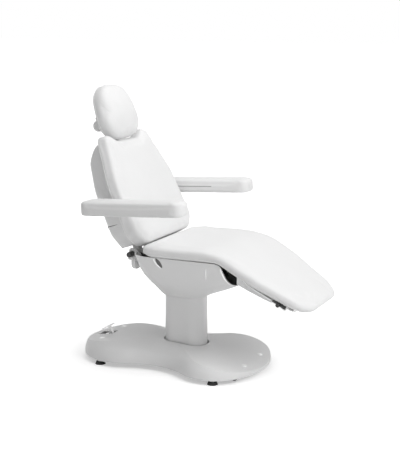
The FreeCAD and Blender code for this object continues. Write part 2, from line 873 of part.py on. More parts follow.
def back_crank():
    return Crank(back_hinge_x, back_hinge_z, 0.0, back_recline)


def leg_crank():
    return Crank(leg_hinge_x, leg_hinge_z, leg_drop, leg_slope)


def rod_axis_z(crank):
    return (crank.pin(crank.after).z + crank.z - crank_r) / 2.0


def slotted_rod(crank, far_x):
    pin, axis = crank.pin(0.0), rod_axis_z(crank)
    end = box(pin.x - rod_end_half, pin.x + rod_end_half, -rod_end_half, rod_end_half,
              axis - 1.6 * rod_end_half, axis + 1.6 * rod_end_half)
    x0, x1 = sorted((pin.x, far_x))
    rod = fuse([end, rod_x(x0, x1, 0, axis, rod_r)])
    half = crank_pin_r + open_pivot_gap
    low, high = crank.z - crank_r, max(crank.pin(crank.after).z, crank.pin(-crank.before).z)
    slot = box(pin.x - half, pin.x + half, -rod_end_half, rod_end_half, low - half, high + half)
    return rod.cut(slot)


def barrel(crank, span, r, bore_from):
    axis = rod_axis_z(crank)
    body = rod_x(span[0], span[1], 0, axis, r)
    x0, x1 = bore_from
    motor = rod_x((span[0] + span[1]) / 2, span[1] - 10, -0.9 * r, axis - 0.9 * r, 0.72 * r)
    return fuse([body, motor]).cut(rod_x(x0, x1, 0, axis, rod_r + running_gap))


def back_rod_end():
    return back_barrel_x[1] - 30 - back_crank().stroke()


def back_motor():
    lug = box(back_barrel_x[1] - 16, back_barrel_x[1], -6, 6, rod_axis_z(back_crank()), seat_frame_z())
    body = barrel(back_crank(), back_barrel_x, back_barrel_r, (back_barrel_x[0], back_barrel_x[1] - 25))
    return fuse([body, lug])


def back_rod():
    return slotted_rod(back_crank(), back_rod_end())


def leg_rod_end():
    return leg_barrel_x[0] + 30 + leg_crank().pin(0).x - leg_crank().pin(-leg_drop).x


def leg_motor():
    lug = box(leg_barrel_x[0], cross_x + seat_tube / 2 + 24, -6, 6, rod_axis_z(leg_crank()), seat_board_z())
    hanger = box(cross_x + seat_tube / 2, leg_barrel_x[0] + 24, -6, 6, seat_frame_z() - 10, seat_board_z())
    body = barrel(leg_crank(), leg_barrel_x, leg_barrel_r, (leg_barrel_x[0] + 25, leg_barrel_x[1]))
    return fuse([body, lug, hanger])


def leg_rod():
    return slotted_rod(leg_crank(), leg_rod_end())


def crank_plates(crank, to_local, anchor):
    # Two cheeks from a cross tube to the crank pin, with the pin between them
    pin = to_local(crank.pin(0.0))
    ax, az = anchor
    wide = 2.2 * crank_pin_r
    dx, dz = pin[0] - ax, pin[1] - az
    length = math.hypot(dx, dz)
    ux, uz = dx / length, dz / length
    points = [(ax - uz * wide, az + ux * wide), (ax + uz * wide, az - ux * wide),
              (pin[0] + uz * wide + ux * wide, pin[1] - ux * wide + uz * wide),
              (pin[0] - uz * wide + ux * wide, pin[1] + ux * wide + uz * wide)]
    if crossing(points) < 0:
        points.reverse()
    y0 = rod_end_half + slide_gap
    cheek = slab(points, [4, 4, 10, 10], 0, y0, y0 + crank_t, side_plane)
    return both_sides(cheek) + [rod_y(pin[0], pin[1], -y0 - crank_t, y0 + crank_t, crank_pin_r)]


def crossing(points):
    total = 0.0
    for i in range(len(points)):
        (ax, ay), (bx, by) = points[i - 1], points[i]
        total += ax * by - bx * ay
    return total


def to_back(point):
    lean = math.radians(back_lean)
    x, z = point.x - back_hinge_x, point.z - back_hinge_z
    return x * math.cos(lean) + z * math.sin(lean), z * math.cos(lean) - x * math.sin(lean)


def to_leg(point):
    slope = math.radians(leg_slope)
    x, z = point.x - leg_hinge_x, point.z - leg_hinge_z
    return x * math.cos(slope) - z * math.sin(slope), x * math.sin(slope) + z * math.cos(slope)


# Backrest
def back_frame():
    half = back_tube_w / 2
    s0, s1 = back_tube_s
    upright = tube_bar(-half, half, back_tube_y - half, back_tube_y + half, s0, s1, frame_wall, "z")
    knuckle = rod_y(0, 0, back_tube_y - half, back_tube_y + half, knuckle_r)
    foot = box(-half, half, back_tube_y - half, back_tube_y + half, 0, s0)
    upright = fuse([upright, knuckle, foot])
    upright = upright.cut(rod_y(0, 0, 0, 2 * back_tube_y, back_pin_r + running_gap))
    upright = upright.cut(rod_y(0, arm_s, 0, 2 * back_tube_y, arm_shaft_r + running_gap))
    parts = both_sides(upright)
    for s in back_cross_s:
        parts.append(tube_bar(-half, half, half - back_tube_y, back_tube_y - half, s - half, s + half,
                              frame_wall, "y"))
    guide = box(-post_t / 2 - guide_wall, post_t / 2 + guide_wall, -post_w / 2 - guide_wall,
                post_w / 2 + guide_wall, *guide_s)
    hole = box(-post_t / 2 - slide_gap, post_t / 2 + slide_gap, -post_w / 2 - slide_gap,
               post_w / 2 + slide_gap, 0, 2 * guide_s[1])
    parts[-1] = fuse([parts[-1], guide])
    return group([on_back(part.cut(hole)) for part in parts])


def back_crank_plates():
    half = back_tube_w / 2
    parts = crank_plates(back_crank(), to_back, (0.0, back_cross_s[0] - half - 8))
    pad = box(-half, half, -rod_end_half - slide_gap - crank_t, rod_end_half + slide_gap + crank_t,
              back_cross_s[0] - half - 8, back_cross_s[0] - half)
    return on_back(fuse(parts + [pad]))


def back_outline():
    right = [(back_low_half, back_low_s), (back_wide_half, back_wide_s), (back_shoulder_half, back_shoulder_s),
             (back_top_half, back_top_s), (back_dip_half, back_dip_s)]
    left = [(-y, s) for y, s in reversed(right)]
    radii = [60, 80, 250, 38, 60]
    return right + left, radii + radii[::-1]


def back_board():
    # Sits inside the front edge of the shell
    points, radii = back_shell_outline()
    half = back_tube_w / 2
    board = slab(points, radii, shell_wall + body_gap, half, half + back_board_t, upright_plane)
    below = box(-back_board_t, 2 * back_cushion_t, -back_wide_half, back_wide_half,
                -back_low_half, back_board_low_s)
    return on_back(board.cut(below))


def back_cushion():
    points, radii = back_outline()
    low = back_tube_w / 2 + back_board_t
    return on_back(cushion(points, radii, low, back_cushion_t, upright_plane))


def back_shell_outline():
    right = [(165, -14), (222, 100), (236, 330), (178, 546), (90, 500)]
    left = [(-y, s) for y, s in reversed(right)]
    radii = [60, 90, 200, 50, 60]
    return right + left, radii + radii[::-1]


def shell_solid(wall):
    # Full depth behind the middle of the back, drawn in towards the head and towards the hinge
    points, radii = back_shell_outline()
    front = back_tube_w / 2 + back_board_t - body_gap
    depth = front + shell_depth
    layers = [(34, -shell_depth), (8, 0.22 * depth - shell_depth), (0, 0.5 * depth - shell_depth), (0, front)]
    solid = layered(points, radii, [(inset + wall, n + (wall if n < 0 else 2 * wall)) for inset, n in layers],
                    upright_plane)
    for high_s, turn in ((shell_head_s, 38.0), (shell_foot_s, -14.0)):
        sign = math.copysign(1.0, turn)
        wedge = box(-4 * shell_depth, 0, -2 * back_wide_half, 2 * back_wide_half, *sorted((0, sign * 1000)))
        wedge.rotate(Vector(0, 0, 0), Vector(0, 1, 0), turn)
        wedge.translate(Vector(wall - shell_depth, 0, high_s))
        solid = solid.cut(wedge)
    return solid


def back_shell():
    shell = shell_solid(0.0).cut(shell_solid(shell_wall))
    shell = shell.cut(rod_y(0, arm_s, -2 * back_wide_half, 2 * back_wide_half, arm_shaft_r + body_gap))
    half_w = post_w / 2 + 2 * guide_wall
    post = box(-post_t - guide_wall, post_t + guide_wall, -half_w, half_w, guide_s[0], 2 * guide_s[1])
    shell = shell.cut(post)
    # The lower end is open for the hinge, the crank and the level link, through the whole recline
    shell = shell.cut(box(-2 * shell_depth, 2 * shell_depth, -2 * back_wide_half, 2 * back_wide_half,
                          -2 * back_wide_s, 2 * knuckle_r))
    return on_back(max(shell.Solids, key=lambda solid: solid.Volume))


# Armrests: a shaft through the backrest carries both brackets, and a link keeps them level
def arm_axis():
    return back_point(0.0, arm_s)


def link_foot():
    return Vector(back_hinge_x, 0, back_hinge_z) + link_offset


def bracket_inner_y():
    return arm_inner_y - arm_side_gap - arm_bracket_t


def arm_shaft():
    axis = arm_axis()
    head = axis + link_offset
    shaft = rod_y(axis.x, axis.z, -bracket_inner_y(), bracket_inner_y(), arm_shaft_r)
    y1 = link_y - slide_gap
    y0 = y1 - link_t
    wide = link_w / 2
    side = Vector(link_offset.z, 0, -link_offset.x).normalize() * wide
    corners = [axis + side, axis - side, head - side, head + side]
    points = [(p.x, p.z) for p in corners]
    if crossing(points) < 0:
        points.reverse()
    lever = slab(points, [2] * 4, 0, y0, y1, side_plane)
    ends = [rod_y(p.x, p.z, y0, y1, 1.6 * link_pin_r) for p in (axis, head)]
    stub = rod_y(head.x, head.z, y1, y1 + link_t + 2 * slide_gap, link_pin_r)
    return fuse([shaft, lever] + ends + [stub])


def level_link():
    foot, head = link_foot(), arm_axis() + link_offset
    y0, y1 = link_y, link_y + link_t
    along = (head - foot).normalize()
    side = Vector(along.z, 0, -along.x) * (link_w / 2)
    points = [(p.x, p.z) for p in (foot + side, foot - side, head - side, head + side)]
    if crossing(points) < 0:
        points.reverse()
    bar = slab(points, [1] * 4, 0, y0, y1, side_plane)
    link = fuse([bar] + [rod_y(p.x, p.z, y0, y1, 0.8 * link_w) for p in (foot, head)])
    link = link.cut(rod_y(foot.x, foot.z, y0, y1, link_pin_r + running_gap))
    return link.cut(rod_y(head.x, head.z, y0, y1, link_pin_r + open_pivot_gap))


def arm_brackets():
    axis = arm_axis()
    y0 = bracket_inner_y()
    plate = rod_y(axis.x, axis.z, y0, y0 + arm_bracket_t, 26.0)
    pin = rod_y(axis.x, axis.z, y0 + arm_bracket_t, arm_inner_y + arm_pin_len, arm_pin_r)
    return group(both_sides(fuse([plate, pin])))


def on_arm(shape):
    # Drawn level at the shaft, with the front end raised
    placed = shape.copy()
    placed.rotate(Vector(0, 0, 0), Vector(0, 1, 0), -arm_rise)
    placed.translate(arm_axis())
    return placed


def arm_core():
    y_mid = arm_inner_y + arm_w / 2
    knuckle = rod_y(0, 0, arm_inner_y, arm_inner_y + arm_pin_len + 6, 2 * arm_pin_r)
    tongue = box(0, arm_front - 60, y_mid - arm_bar_w / 2, y_mid + arm_bar_w / 2, -arm_bar_t / 2, arm_bar_t / 2)
    return fuse([knuckle, tongue])


def arm_bar():
    bore = rod_y(0, 0, arm_inner_y, arm_inner_y + arm_pin_len + body_gap, arm_pin_r + running_gap)
    return on_arm(arm_core().cut(bore))


def arm_pad():
    points = rectangle(-arm_rear, arm_front, arm_inner_y, arm_inner_y + arm_w)
    pad = cushion(points, [26] * 4, -arm_t / 2, arm_t, flat_plane, 0.42)
    mouth = rod_y(0, 0, arm_inner_y - arm_side_gap, arm_inner_y, 2 * arm_pin_r)
    return on_arm(pad.cut(arm_core()).cut(mouth))


# Headrest
def headrest_post():
    bar = box(-post_t / 2, post_t / 2, -post_w / 2, post_w / 2, post_low_s, head_pivot_s)
    eye = rod_y(head_pivot_n, head_pivot_s, -post_w / 2, post_w / 2, head_pivot_r)
    neck = box(head_pivot_n, post_t / 2, -post_w / 2, post_w / 2, head_pivot_s - head_pivot_r, head_pivot_s)
    pin = rod_y(head_pivot_n, head_pivot_s, -head_pivot_half, head_pivot_half, head_pivot_r / 3)
    return on_back(fuse([bar, neck, eye, pin]))


def head_outline():
    right = [(head_low_half, head_low_s), (head_wide_half, head_wide_s), (head_top_half, head_top_s)]
    left = [(-y, s) for y, s in reversed(right)]
    return right + left, [90, 80, 105, 105, 80, 90]


def post_slot(depth):
    half = post_w / 2 + 1
    return box(-head_t, head_back_n + depth, -half, half, 0, head_pivot_s + head_pivot_r + 8)


def headrest_plate():
    plate_n = head_back_n - 6
    knuckles = []
    for side in (-1, 1):
        y0, y1 = sorted((side * (post_w / 2 + slide_gap), side * head_pivot_half))
        knuckles.append(rod_y(head_pivot_n, head_pivot_s, y0, y1, head_pivot_r))
        knuckles.append(box(head_pivot_n, plate_n, y0, y1, head_pivot_s - 8, head_pivot_s + 40))
    points, radii = head_outline()
    plate = slab(points, radii, 30, plate_n, head_back_n, upright_plane).cut(post_slot(0.0))
    whole = fuse(knuckles + [plate])
    bore = rod_y(head_pivot_n, head_pivot_s, -head_pivot_half, head_pivot_half, head_pivot_r / 3 + running_gap)
    return on_back(whole.cut(bore))


def headrest_cushion():
    points, radii = head_outline()
    pad = cushion(points, radii, head_back_n, head_t, upright_plane)
    return on_back(pad.cut(post_slot(16.0)))


# Leg rest
def leg_board_m():
    return seat_board_z() - leg_hinge_z


def leg_frame():
    half = seat_tube / 2
    high = leg_board_m()
    low = high - leg_tube_h
    bar = tube_bar(0, leg_tube_end, leg_tube_y - half, leg_tube_y + half, low, high, frame_wall, "x")
    knuckle = rod_y(0, 0, leg_tube_y - half, leg_tube_y + half, leg_knuckle_r)
    bar = fuse([bar, knuckle]).cut(rod_y(0, 0, 0, 2 * leg_tube_y, leg_pin_r + running_gap))
    parts = both_sides(bar)
    for t in leg_cross_t:
        parts.append(tube_bar(t - half, t + half, half - leg_tube_y, leg_tube_y - half, low, high,
                              frame_wall, "y"))
    return group([on_leg(part) for part in parts])


def leg_hinge_pin():
    half = seat_rail_y + seat_tube / 2
    return rod_y(leg_hinge_x, leg_hinge_z, -half, half, leg_pin_r)


def leg_crank_plates():
    low = leg_board_m() - leg_tube_h
    t = leg_cross_t[0]
    parts = crank_plates(leg_crank(), to_leg, (t, low - 16))
    pad = box(t - seat_tube / 2, t + seat_tube / 2, -rod_end_half - slide_gap - crank_t,
              rod_end_half + slide_gap + crank_t, low - 16, low)
    return on_leg(fuse(parts + [pad]))


def leg_outline(start):
    points = [(start, -seat_half_w), (leg_mid_t, -leg_mid_half), (leg_len, -leg_tip_half),
              (leg_len, leg_tip_half), (leg_mid_t, leg_mid_half), (start, seat_half_w)]
    return points, [2, 400, 120, 120, 400, 2]


def leg_board():
    points, radii = leg_outline(0.0)
    low = leg_board_m()
    board = slab(points, radii, leg_board_inset, low, low + board_t, flat_plane)
    board = board.common(box(board_t + 3, leg_board_end, -seat_half_w, seat_half_w, -leg_len, leg_len))
    for side in (-1, 1):
        y0, y1 = sorted((side * (side_rail_y - body_gap), side * seat_half_w))
        board = board.cut(box(side_rail_start - body_gap, leg_len, y0, y1, low, low + board_t))
    return on_leg(board)


def leg_cushion():
    points, radii = leg_outline(-2.0 * seat_half_w)
    low = leg_board_m() + board_t
    pad = cushion(points, radii, low, cushion_t, flat_plane)
    keep = box(body_gap, leg_len, -seat_half_w, seat_half_w, low, low + 2 * cushion_t)
    pad = pad.common(keep)
    # The toe end is pared off underneath
    toe = box(0, leg_len, -seat_half_w, seat_half_w, -leg_len, 0)
    toe.rotate(Vector(0, 0, 0), Vector(0, 1, 0), -32.0)
    toe.translate(Vector(leg_shell_end + leg_toe_gap, 0, low))
    return on_leg(pad.cut(toe))


def leg_shell():
    # A tray under the frame, deep at the knee and thin at the toe, with its rim under the cushion
    high = leg_rim_m()
    frame_low = leg_board_m() - leg_tube_h
    t0, t1 = leg_shell_start, leg_shell_end
    wires, hollows = [], []
    wall = leg_shell_wall
    places = ((t0, 252.0, -1.0), (0.5 * (t0 + t1), 240.0, 0.0), (t1, 212.0, -wall))
    for (t, half, shift), low in zip(places, leg_shell_low):
        points = [(-half, high), (-0.72 * half, low), (0.72 * half, low), (half, high)]
        inner = [(-half + wall, high + wall), (-0.72 * half, low + wall), (0.72 * half, low + wall),
                 (half - wall, high + wall)]
        radii = [2, 60, 60, 2]
        wires.append(outline(points, radii, 0, t, upright_plane))
        hollows.append(outline(inner, radii, 0, t + shift, upright_plane))
    tray = solid_of(Part.makeLoft(wires, True, False))
    hollow = solid_of(Part.makeLoft(hollows, True, False))
    tray = tray.cut(hollow)
    crank_half = rod_end_half + crank_t + 4
    tray = tray.cut(box(0, t0 + 2.5 * rod_end_half, -crank_half, crank_half, 2 * leg_shell_low[0], high))
    half = seat_tube / 2 + body_gap
    for side in (-1, 1):
        tray = tray.cut(box(0, leg_tube_end + body_gap, side * leg_tube_y - half, side * leg_tube_y + half,
                            frame_low - body_gap, high + wall))
    for side in (-1, 1):
        y0, y1 = sorted((side * (side_rail_y - body_gap), side * 2 * side_rail_y))
        tray = tray.cut(box(side_rail_start - body_gap, side_rail_end + body_gap, y0, y1,
                            high - side_rail_h - body_gap, high + wall))
        tray = tray.cut(side_rail_webs(side, body_gap))
    return on_leg(max(tray.Solids, key=lambda solid: solid.Volume))


def leg_rim_m():
    return leg_board_m() + board_t - body_gap


def knob_m():
    return leg_rim_m() - knob_head_r - body_gap


def side_rail_webs(side, gap):
    # Flat web from the frame tube out to the rail
    high = leg_board_m()
    y0, y1 = sorted((side * (leg_tube_y + seat_tube / 2), side * side_rail_y))
    return box(side_rail_start - gap, side_rail_end + gap, y0, y1, high - side_rail_web - gap, high + gap)


def leg_side_rails():
    top = leg_rim_m()
    rail = box(side_rail_start, side_rail_end, side_rail_y, side_rail_y + side_rail_t, top - side_rail_h, top)
    rails = both_sides(fuse([rail, side_rail_webs(1, 0.0)]))
    hole = rod_y(knob_t, knob_m(), -2 * side_rail_y, 0, knob_r + running_gap)
    return on_leg(group([rail.cut(hole) for rail in rails]))


def knob_outer_y():
    return -side_rail_y - side_rail_t - knob_bracket_t


def knob_bracket():
    y0, m = knob_outer_y(), knob_m()
    bar = box(knob_t - knob_bracket_len / 2, knob_t + knob_bracket_len / 2, y0, y0 + knob_bracket_t,
              m - knob_bracket_h / 2, m + knob_bracket_h / 2)
    bar = bar.makeFillet(3.0, [edge for edge in bar.Edges if edge.BoundBox.YMax < y0 + 1])
    return on_leg(bar.cut(rod_y(knob_t, m, y0, y0 + knob_bracket_t, knob_r + running_gap)))


def leg_knob():
    y1, m = knob_outer_y() - slide_gap, knob_m()
    stem = rod_y(knob_t, m, y1, -side_rail_y + 2, knob_r)
    head = rod_y(knob_t, m, y1 - knob_head_len, y1, knob_head_r)
    head = head.makeFillet(4.0, [edge for edge in head.Edges if edge.BoundBox.YMax < y1 - 1])
    return on_leg(fuse([stem, head]))


def parts():
    glide_low = frame_z + inner_foot_gap + 2
    fixed_low = column_top_z - glide_h - 2
    arm_l, pad_l = arm_bar(), arm_pad()
    return {
        "base_cover": base_cover(),
        "cover_screws": cover_screws(),
        "mains_inlet": mains_inlet(),
        "base_rails": base_rails(),
        "base_cross_tubes": base_cross_tubes(),
        "column_plate": column_plate(),
        "levelling_feet": levelling_feet(),
        "foot_studs": foot_studs(),
        "wheel_forks": wheel_forks(),
        "wheel_axle": wheel_axle(),
        "wheel_right": wheel(-1),
        "wheel_left": wheel(1),
        "pedal_pin": pedal_pin(),
        "pedal_switch": pedal_switch(),
        "pedal": pedal(),
        "column_outer": column_outer(),
        "fixed_glides": glides(fixed_low, slide_gap, 0.0),
        "lift_actuator": lift_actuator(),
        "column_inner": column_inner(),
        "moving_glides": glides(glide_low, 0.0, slide_gap),
        "lift_rod": lift_rod(),
        "seat_bracket": seat_bracket(),
        "seat_frame": seat_frame(),
        "seat_board": seat_board(),
        "seat_cushion": seat_cushion(),
        "knee_cushion": knee_cushion(),
        "seat_housing": seat_housing(),
        "hinge_bosses": hinge_bosses(),
        "control_box": control_box(),
        "hinge_plates": hinge_plates(),
        "back_hinge_pin": back_hinge_pin(),
        "hinge_caps": hinge_caps(),
        "back_motor": back_motor(),
        "back_rod": back_rod(),
        "leg_motor": leg_motor(),
        "leg_rod": leg_rod(),
        "leg_hinge_pin": leg_hinge_pin(),
        "back_frame": back_frame(),
        "back_crank": back_crank_plates(),
        "back_board": back_board(),
        "back_cushion": back_cushion(),
        "back_shell": back_shell(),
        "arm_shaft": arm_shaft(),
        "level_link": level_link(),
        "arm_brackets": arm_brackets(),
        "arm_bar_left": arm_l,
        "arm_pad_left": pad_l,
        "arm_bar_right": mirror_y(arm_l),
        "arm_pad_right": mirror_y(pad_l),
        "headrest_post": headrest_post(),
        "headrest_plate": headrest_plate(),
        "headrest_cushion": headrest_cushion(),
        "leg_frame": leg_frame(),
        "leg_crank": leg_crank_plates(),
        "leg_board": leg_board(),
        "leg_cushion": leg_cushion(),
        "leg_shell": leg_shell(),
        "leg_side_rails": leg_side_rails(),
        "knob_bracket": knob_bracket(),
        "leg_knob": leg_knob(),
    }


def chair_shift():
    # Middle of the footprint, from the tail of the base to the toe of the leg rest
    toe = leg_point(leg_len, leg_board_m() + board_t + 0.5 * cushion_t)
    return Vector(-(toe.x + rear_lobe_x - rear_lobe_r) / 2.0, 0, 0)


def main():
    os.makedirs("parts", exist_ok=True)
    for name, shape in parts().items():
        shape.translate(chair_shift())
        shape.exportStep("parts/" + name + ".step")


main()
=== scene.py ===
import json
import math

import bpy
import numpy as np
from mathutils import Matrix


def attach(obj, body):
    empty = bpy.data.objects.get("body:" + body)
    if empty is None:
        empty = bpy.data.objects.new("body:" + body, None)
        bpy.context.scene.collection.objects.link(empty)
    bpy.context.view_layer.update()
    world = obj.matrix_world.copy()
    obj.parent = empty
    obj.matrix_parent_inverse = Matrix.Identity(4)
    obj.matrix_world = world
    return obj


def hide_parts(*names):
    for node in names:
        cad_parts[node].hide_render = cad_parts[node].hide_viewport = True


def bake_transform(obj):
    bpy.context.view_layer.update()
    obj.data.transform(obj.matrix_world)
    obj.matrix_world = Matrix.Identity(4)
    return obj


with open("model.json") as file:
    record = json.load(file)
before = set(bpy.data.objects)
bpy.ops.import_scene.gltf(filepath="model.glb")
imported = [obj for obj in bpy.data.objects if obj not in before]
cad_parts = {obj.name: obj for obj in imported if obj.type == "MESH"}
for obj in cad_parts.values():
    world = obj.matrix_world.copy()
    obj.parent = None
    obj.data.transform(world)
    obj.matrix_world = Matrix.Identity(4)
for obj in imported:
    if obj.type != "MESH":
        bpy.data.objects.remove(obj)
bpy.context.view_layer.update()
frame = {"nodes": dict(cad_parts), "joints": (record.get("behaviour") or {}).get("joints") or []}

scene = bpy.context.scene
nodes = frame["nodes"]
joints = {joint["name"]: joint for joint in frame["joints"]}

# Hinge lines and directions come from the joints, so that pieces sit where the solids are
backHinge = np.array(joints["recline"]["pos_m"])
knee = np.array(joints["legrest_raise"]["pos_m"])
armAxis = np.array(joints["arm_level"]["pos_m"])
backUp = np.array(joints["headrest_height"]["axis"])
backOut = np.array([backUp[2], 0.0, -backUp[0]])
legSlope = math.radians(joints["legrest_raise"]["range_deg"][1])
legAlong = np.array([math.cos(legSlope), 0.0, -math.sin(legSlope)])
legUp = np.array([math.sin(legSlope), 0.0, math.cos(legSlope)])
sides = ((-1, "Right"), (1, "Left"))
print("stage: frame loaded")


# Mesh helpers
def newObject(name, points, faces, smooth=True):
    mesh = bpy.data.meshes.new(name)
    mesh.from_pydata(points.tolist(), [], faces)
    mesh.polygons.foreach_set("use_smooth", np.full(len(mesh.polygons), smooth))
    mesh.update()
    piece = bpy.data.objects.new(name, mesh)
    scene.collection.objects.link(piece)
    return piece


def gridFaces(rows, columns, closedRows=False, closedColumns=False):
    # Quads between each grid point and its neighbours, going round where a direction is closed
    row, column = np.meshgrid(np.arange(rows - (not closedRows)), np.arange(columns - (not closedColumns)),
                              indexing="ij")
    below, right = (row + 1) % rows, (column + 1) % columns
    quads = [row * columns + column, row * columns + right,
             below * columns + right, below * columns + column]
    return np.stack(quads, -1).reshape(-1, 4).tolist()


def closedGrid(name, grid):
    # Columns close on themselves, and the first and last rows close to a point
    rows, columns = grid.shape[:2]
    points = np.vstack([grid.reshape(-1, 3), grid[:1].mean((0, 1))[None], grid[-1:].mean((0, 1))[None]])
    ring, top = np.arange(columns), (rows - 1) * columns
    low = np.stack([np.full(columns, rows * columns), np.roll(ring, -1), ring], -1)
    high = np.stack([np.full(columns, rows * columns + 1), top + ring, top + np.roll(ring, -1)], -1)
    faces = gridFaces(rows, columns, closedColumns=True) + low.tolist() + high.tolist()
    return faceOutward(newObject(name, points, faces))


def faceOutward(piece):
    # Signed volume of the closed surface: turned over where it is negative
    mesh = piece.data
    mesh.calc_loop_triangles()
    corners = np.zeros(len(mesh.loop_triangles) * 3, np.int32)
    mesh.loop_triangles.foreach_get("vertices", corners)
    p = readPoints(mesh)[corners.reshape(-1, 3)]
    if np.einsum("ij,ij->i", p[:, 0], np.cross(p[:, 1], p[:, 2])).sum() < 0:
        mesh.flip_normals()
    return piece


def readPoints(mesh):
    flat = np.zeros(len(mesh.vertices) * 3, np.float32)
    mesh.vertices.foreach_get("co", flat)
    return flat.reshape(-1, 3).astype(float)


def readNormals(mesh):
    flat = np.zeros(len(mesh.vertices) * 3, np.float32)
    mesh.vertex_normals.foreach_get("vector", flat)
    return flat.reshape(-1, 3).astype(float)


def writePoints(mesh, points):
    mesh.vertices.foreach_set("co", points.astype(np.float32).ravel())
    mesh.update()


def bake(piece):
    bpy.context.view_layer.update()
    made = bpy.data.meshes.new_from_object(piece.evaluated_get(bpy.context.evaluated_depsgraph_get()))
    old = piece.data
    piece.modifiers.clear()
    piece.data = made
    bpy.data.meshes.remove(old)
    made.name = piece.name
    made.polygons.foreach_set("use_smooth", np.ones(len(made.polygons), bool))
    return piece


def roundedOutline(corners, radii, count, arcSteps=33, longest=0.48):
    # A polygon whose corners are arcs, evenly spaced along its length
    c = np.array(corners, float)
    u, v = np.roll(c, 1, 0) - c, np.roll(c, -1, 0) - c
    lu, lv = np.linalg.norm(u, axis=1), np.linalg.norm(v, axis=1)
    u, v = u / lu[:, None], v / lv[:, None]
    half = np.arccos(np.clip((u * v).sum(1), -1, 1)) / 2
    reach = np.minimum(np.array(radii) / np.tan(half), longest * np.minimum(lu, lv))
    radius = reach * np.tan(half)
    middle = (u + v) / np.linalg.norm(u + v, axis=1)[:, None]
    centre = c + middle * (radius / np.sin(half))[:, None]
    a, b = c + u * reach[:, None] - centre, c + v * reach[:, None] - centre
    start = np.arctan2(a[:, 1], a[:, 0])
    sweep = np.arctan2(a[:, 0] * b[:, 1] - a[:, 1] * b[:, 0], (a * b).sum(1))
    angle = start[:, None] + sweep[:, None] * np.linspace(0, 1, arcSteps)
    path = centre[:, None] + radius[:, None, None] * np.stack([np.cos(angle), np.sin(angle)], -1)
    return evenly(np.vstack([path.reshape(-1, 2), path[0, :1]]), count, False)


def evenly(path, count, ends=True):
    # Points at equal steps along a polyline
    length = np.concatenate([[0], np.cumsum(np.linalg.norm(np.diff(path, axis=0), axis=1))])
    at = np.linspace(0, length[-1], count, endpoint=ends)
    return np.stack([np.interp(at, length, path[:, i]) for i in range(path.shape[1])], -1)


# Rings of a pad: shares of its reach under and over it, the last ring's share, and the drawn-in end rings
padSet = {"under": (0.92, 0.6, 0.3), "over": (0.12, 0.25, 0.4, 0.55, 0.7, 0.85, 1.0), "last": 0.96,
          "ends": (0.05, 0.25, 0.5, 0.75), "least": 0.02}


def pillow(outline, rings):
    # Each ring is the outline drawn in by an inset, at a height: under the pad, round its side and over it
    low, high = outline.min(0), outline.max(0)
    centre, half = (low + high) / 2, (high - low) / 2
    inset, height = np.array(rings, float).T
    scale = np.maximum(1 - inset[:, None] / half, padSet["least"])
    flat = centre + (outline[None] - centre) * scale[:, None]
    return np.concatenate([flat, np.broadcast_to(height[:, None, None], flat.shape[:2] + (1,))], -1)


def wholePad(outline, rings):
    # The pillow with its end rings drawn in to their middles, so that the closed ends follow a bend too
    grid = pillow(outline, rings)
    share = np.array(padSet["ends"])[:, None, None]
    first, last = (ring.mean(0) + (ring - ring.mean(0)) * share for ring in (grid[0], grid[-1]))
    return np.concatenate([first, grid, last[::-1]])


def padRings(profile, thickness, crown, reach):
    # Insets and heights: under the pad, up its side by the profile, and over its crowned face
    under = [(reach * share, 0.0) for share in padSet["under"]]
    rim = [(inset, share * thickness) for inset, share in profile]
    last = profile[-1][0]
    span = padSet["last"] * reach - last
    over = [(last + span * share, thickness + crown * (1 - (1 - share) ** 2)) for share in padSet["over"]]
    return under + rim + over


def tubeAlong(name, path, radius, up, closed=True, around=10):
    # A circle of the radius carried along the path, square to it
    along = np.roll(path, -1, 0) - np.roll(path, 1, 0) if closed else np.gradient(path, axis=0)
    along /= np.linalg.norm(along, axis=1)[:, None]
    side = np.cross(along, np.broadcast_to(up, path.shape))
    side /= np.linalg.norm(side, axis=1)[:, None]
    rise = np.cross(side, along)
    turn = np.linspace(0, 2 * np.pi, around, endpoint=False)
    r = np.broadcast_to(radius, len(path))[:, None, None]
    circle = np.cos(turn)[:, None] * side[:, None] + np.sin(turn)[:, None] * rise[:, None]
    grid = path[:, None] + r * circle
    if not closed:
        return closedGrid(name, grid)
    return faceOutward(newObject(name, grid.reshape(-1, 3), gridFaces(len(path), around, True, True)))


def settle(points, target, lift, straight=False):
    # The nearest points of the target's surface, or those straight across the chair, lifted off it
    mesh = bpy.data.meshes.new("probe")
    mesh.from_pydata(points.reshape(-1, 3).tolist(), [], [])
    probe = bpy.data.objects.new("probe", mesh)
    scene.collection.objects.link(probe)
    wrap = probe.modifiers.new("wrap", "SHRINKWRAP")
    wrap.target = target
    wrap.wrap_method = "PROJECT" if straight else "NEAREST_SURFACEPOINT"
    wrap.use_project_y = wrap.use_negative_direction = straight
    wrap.wrap_mode = "ABOVE_SURFACE"
    wrap.offset = lift
    found = readPoints(bake(probe).data)
    bpy.data.objects.remove(probe)
    return found.reshape(points.shape)


def eased(path, passes):
    # An open line with each point moved to the middle of its neighbours, ends kept
    for step in range(passes):
        path[1:-1] = 0.5 * path[1:-1] + 0.25 * (path[:-2] + path[2:])
    return path


# Cloth run of a pad: its frames, its quality, and how far a normal turns away where the underside is held
clothSet = {"frames": 20, "quality": 4, "held": -0.5, "smooth": 0.5, "firstSmooth": 2}


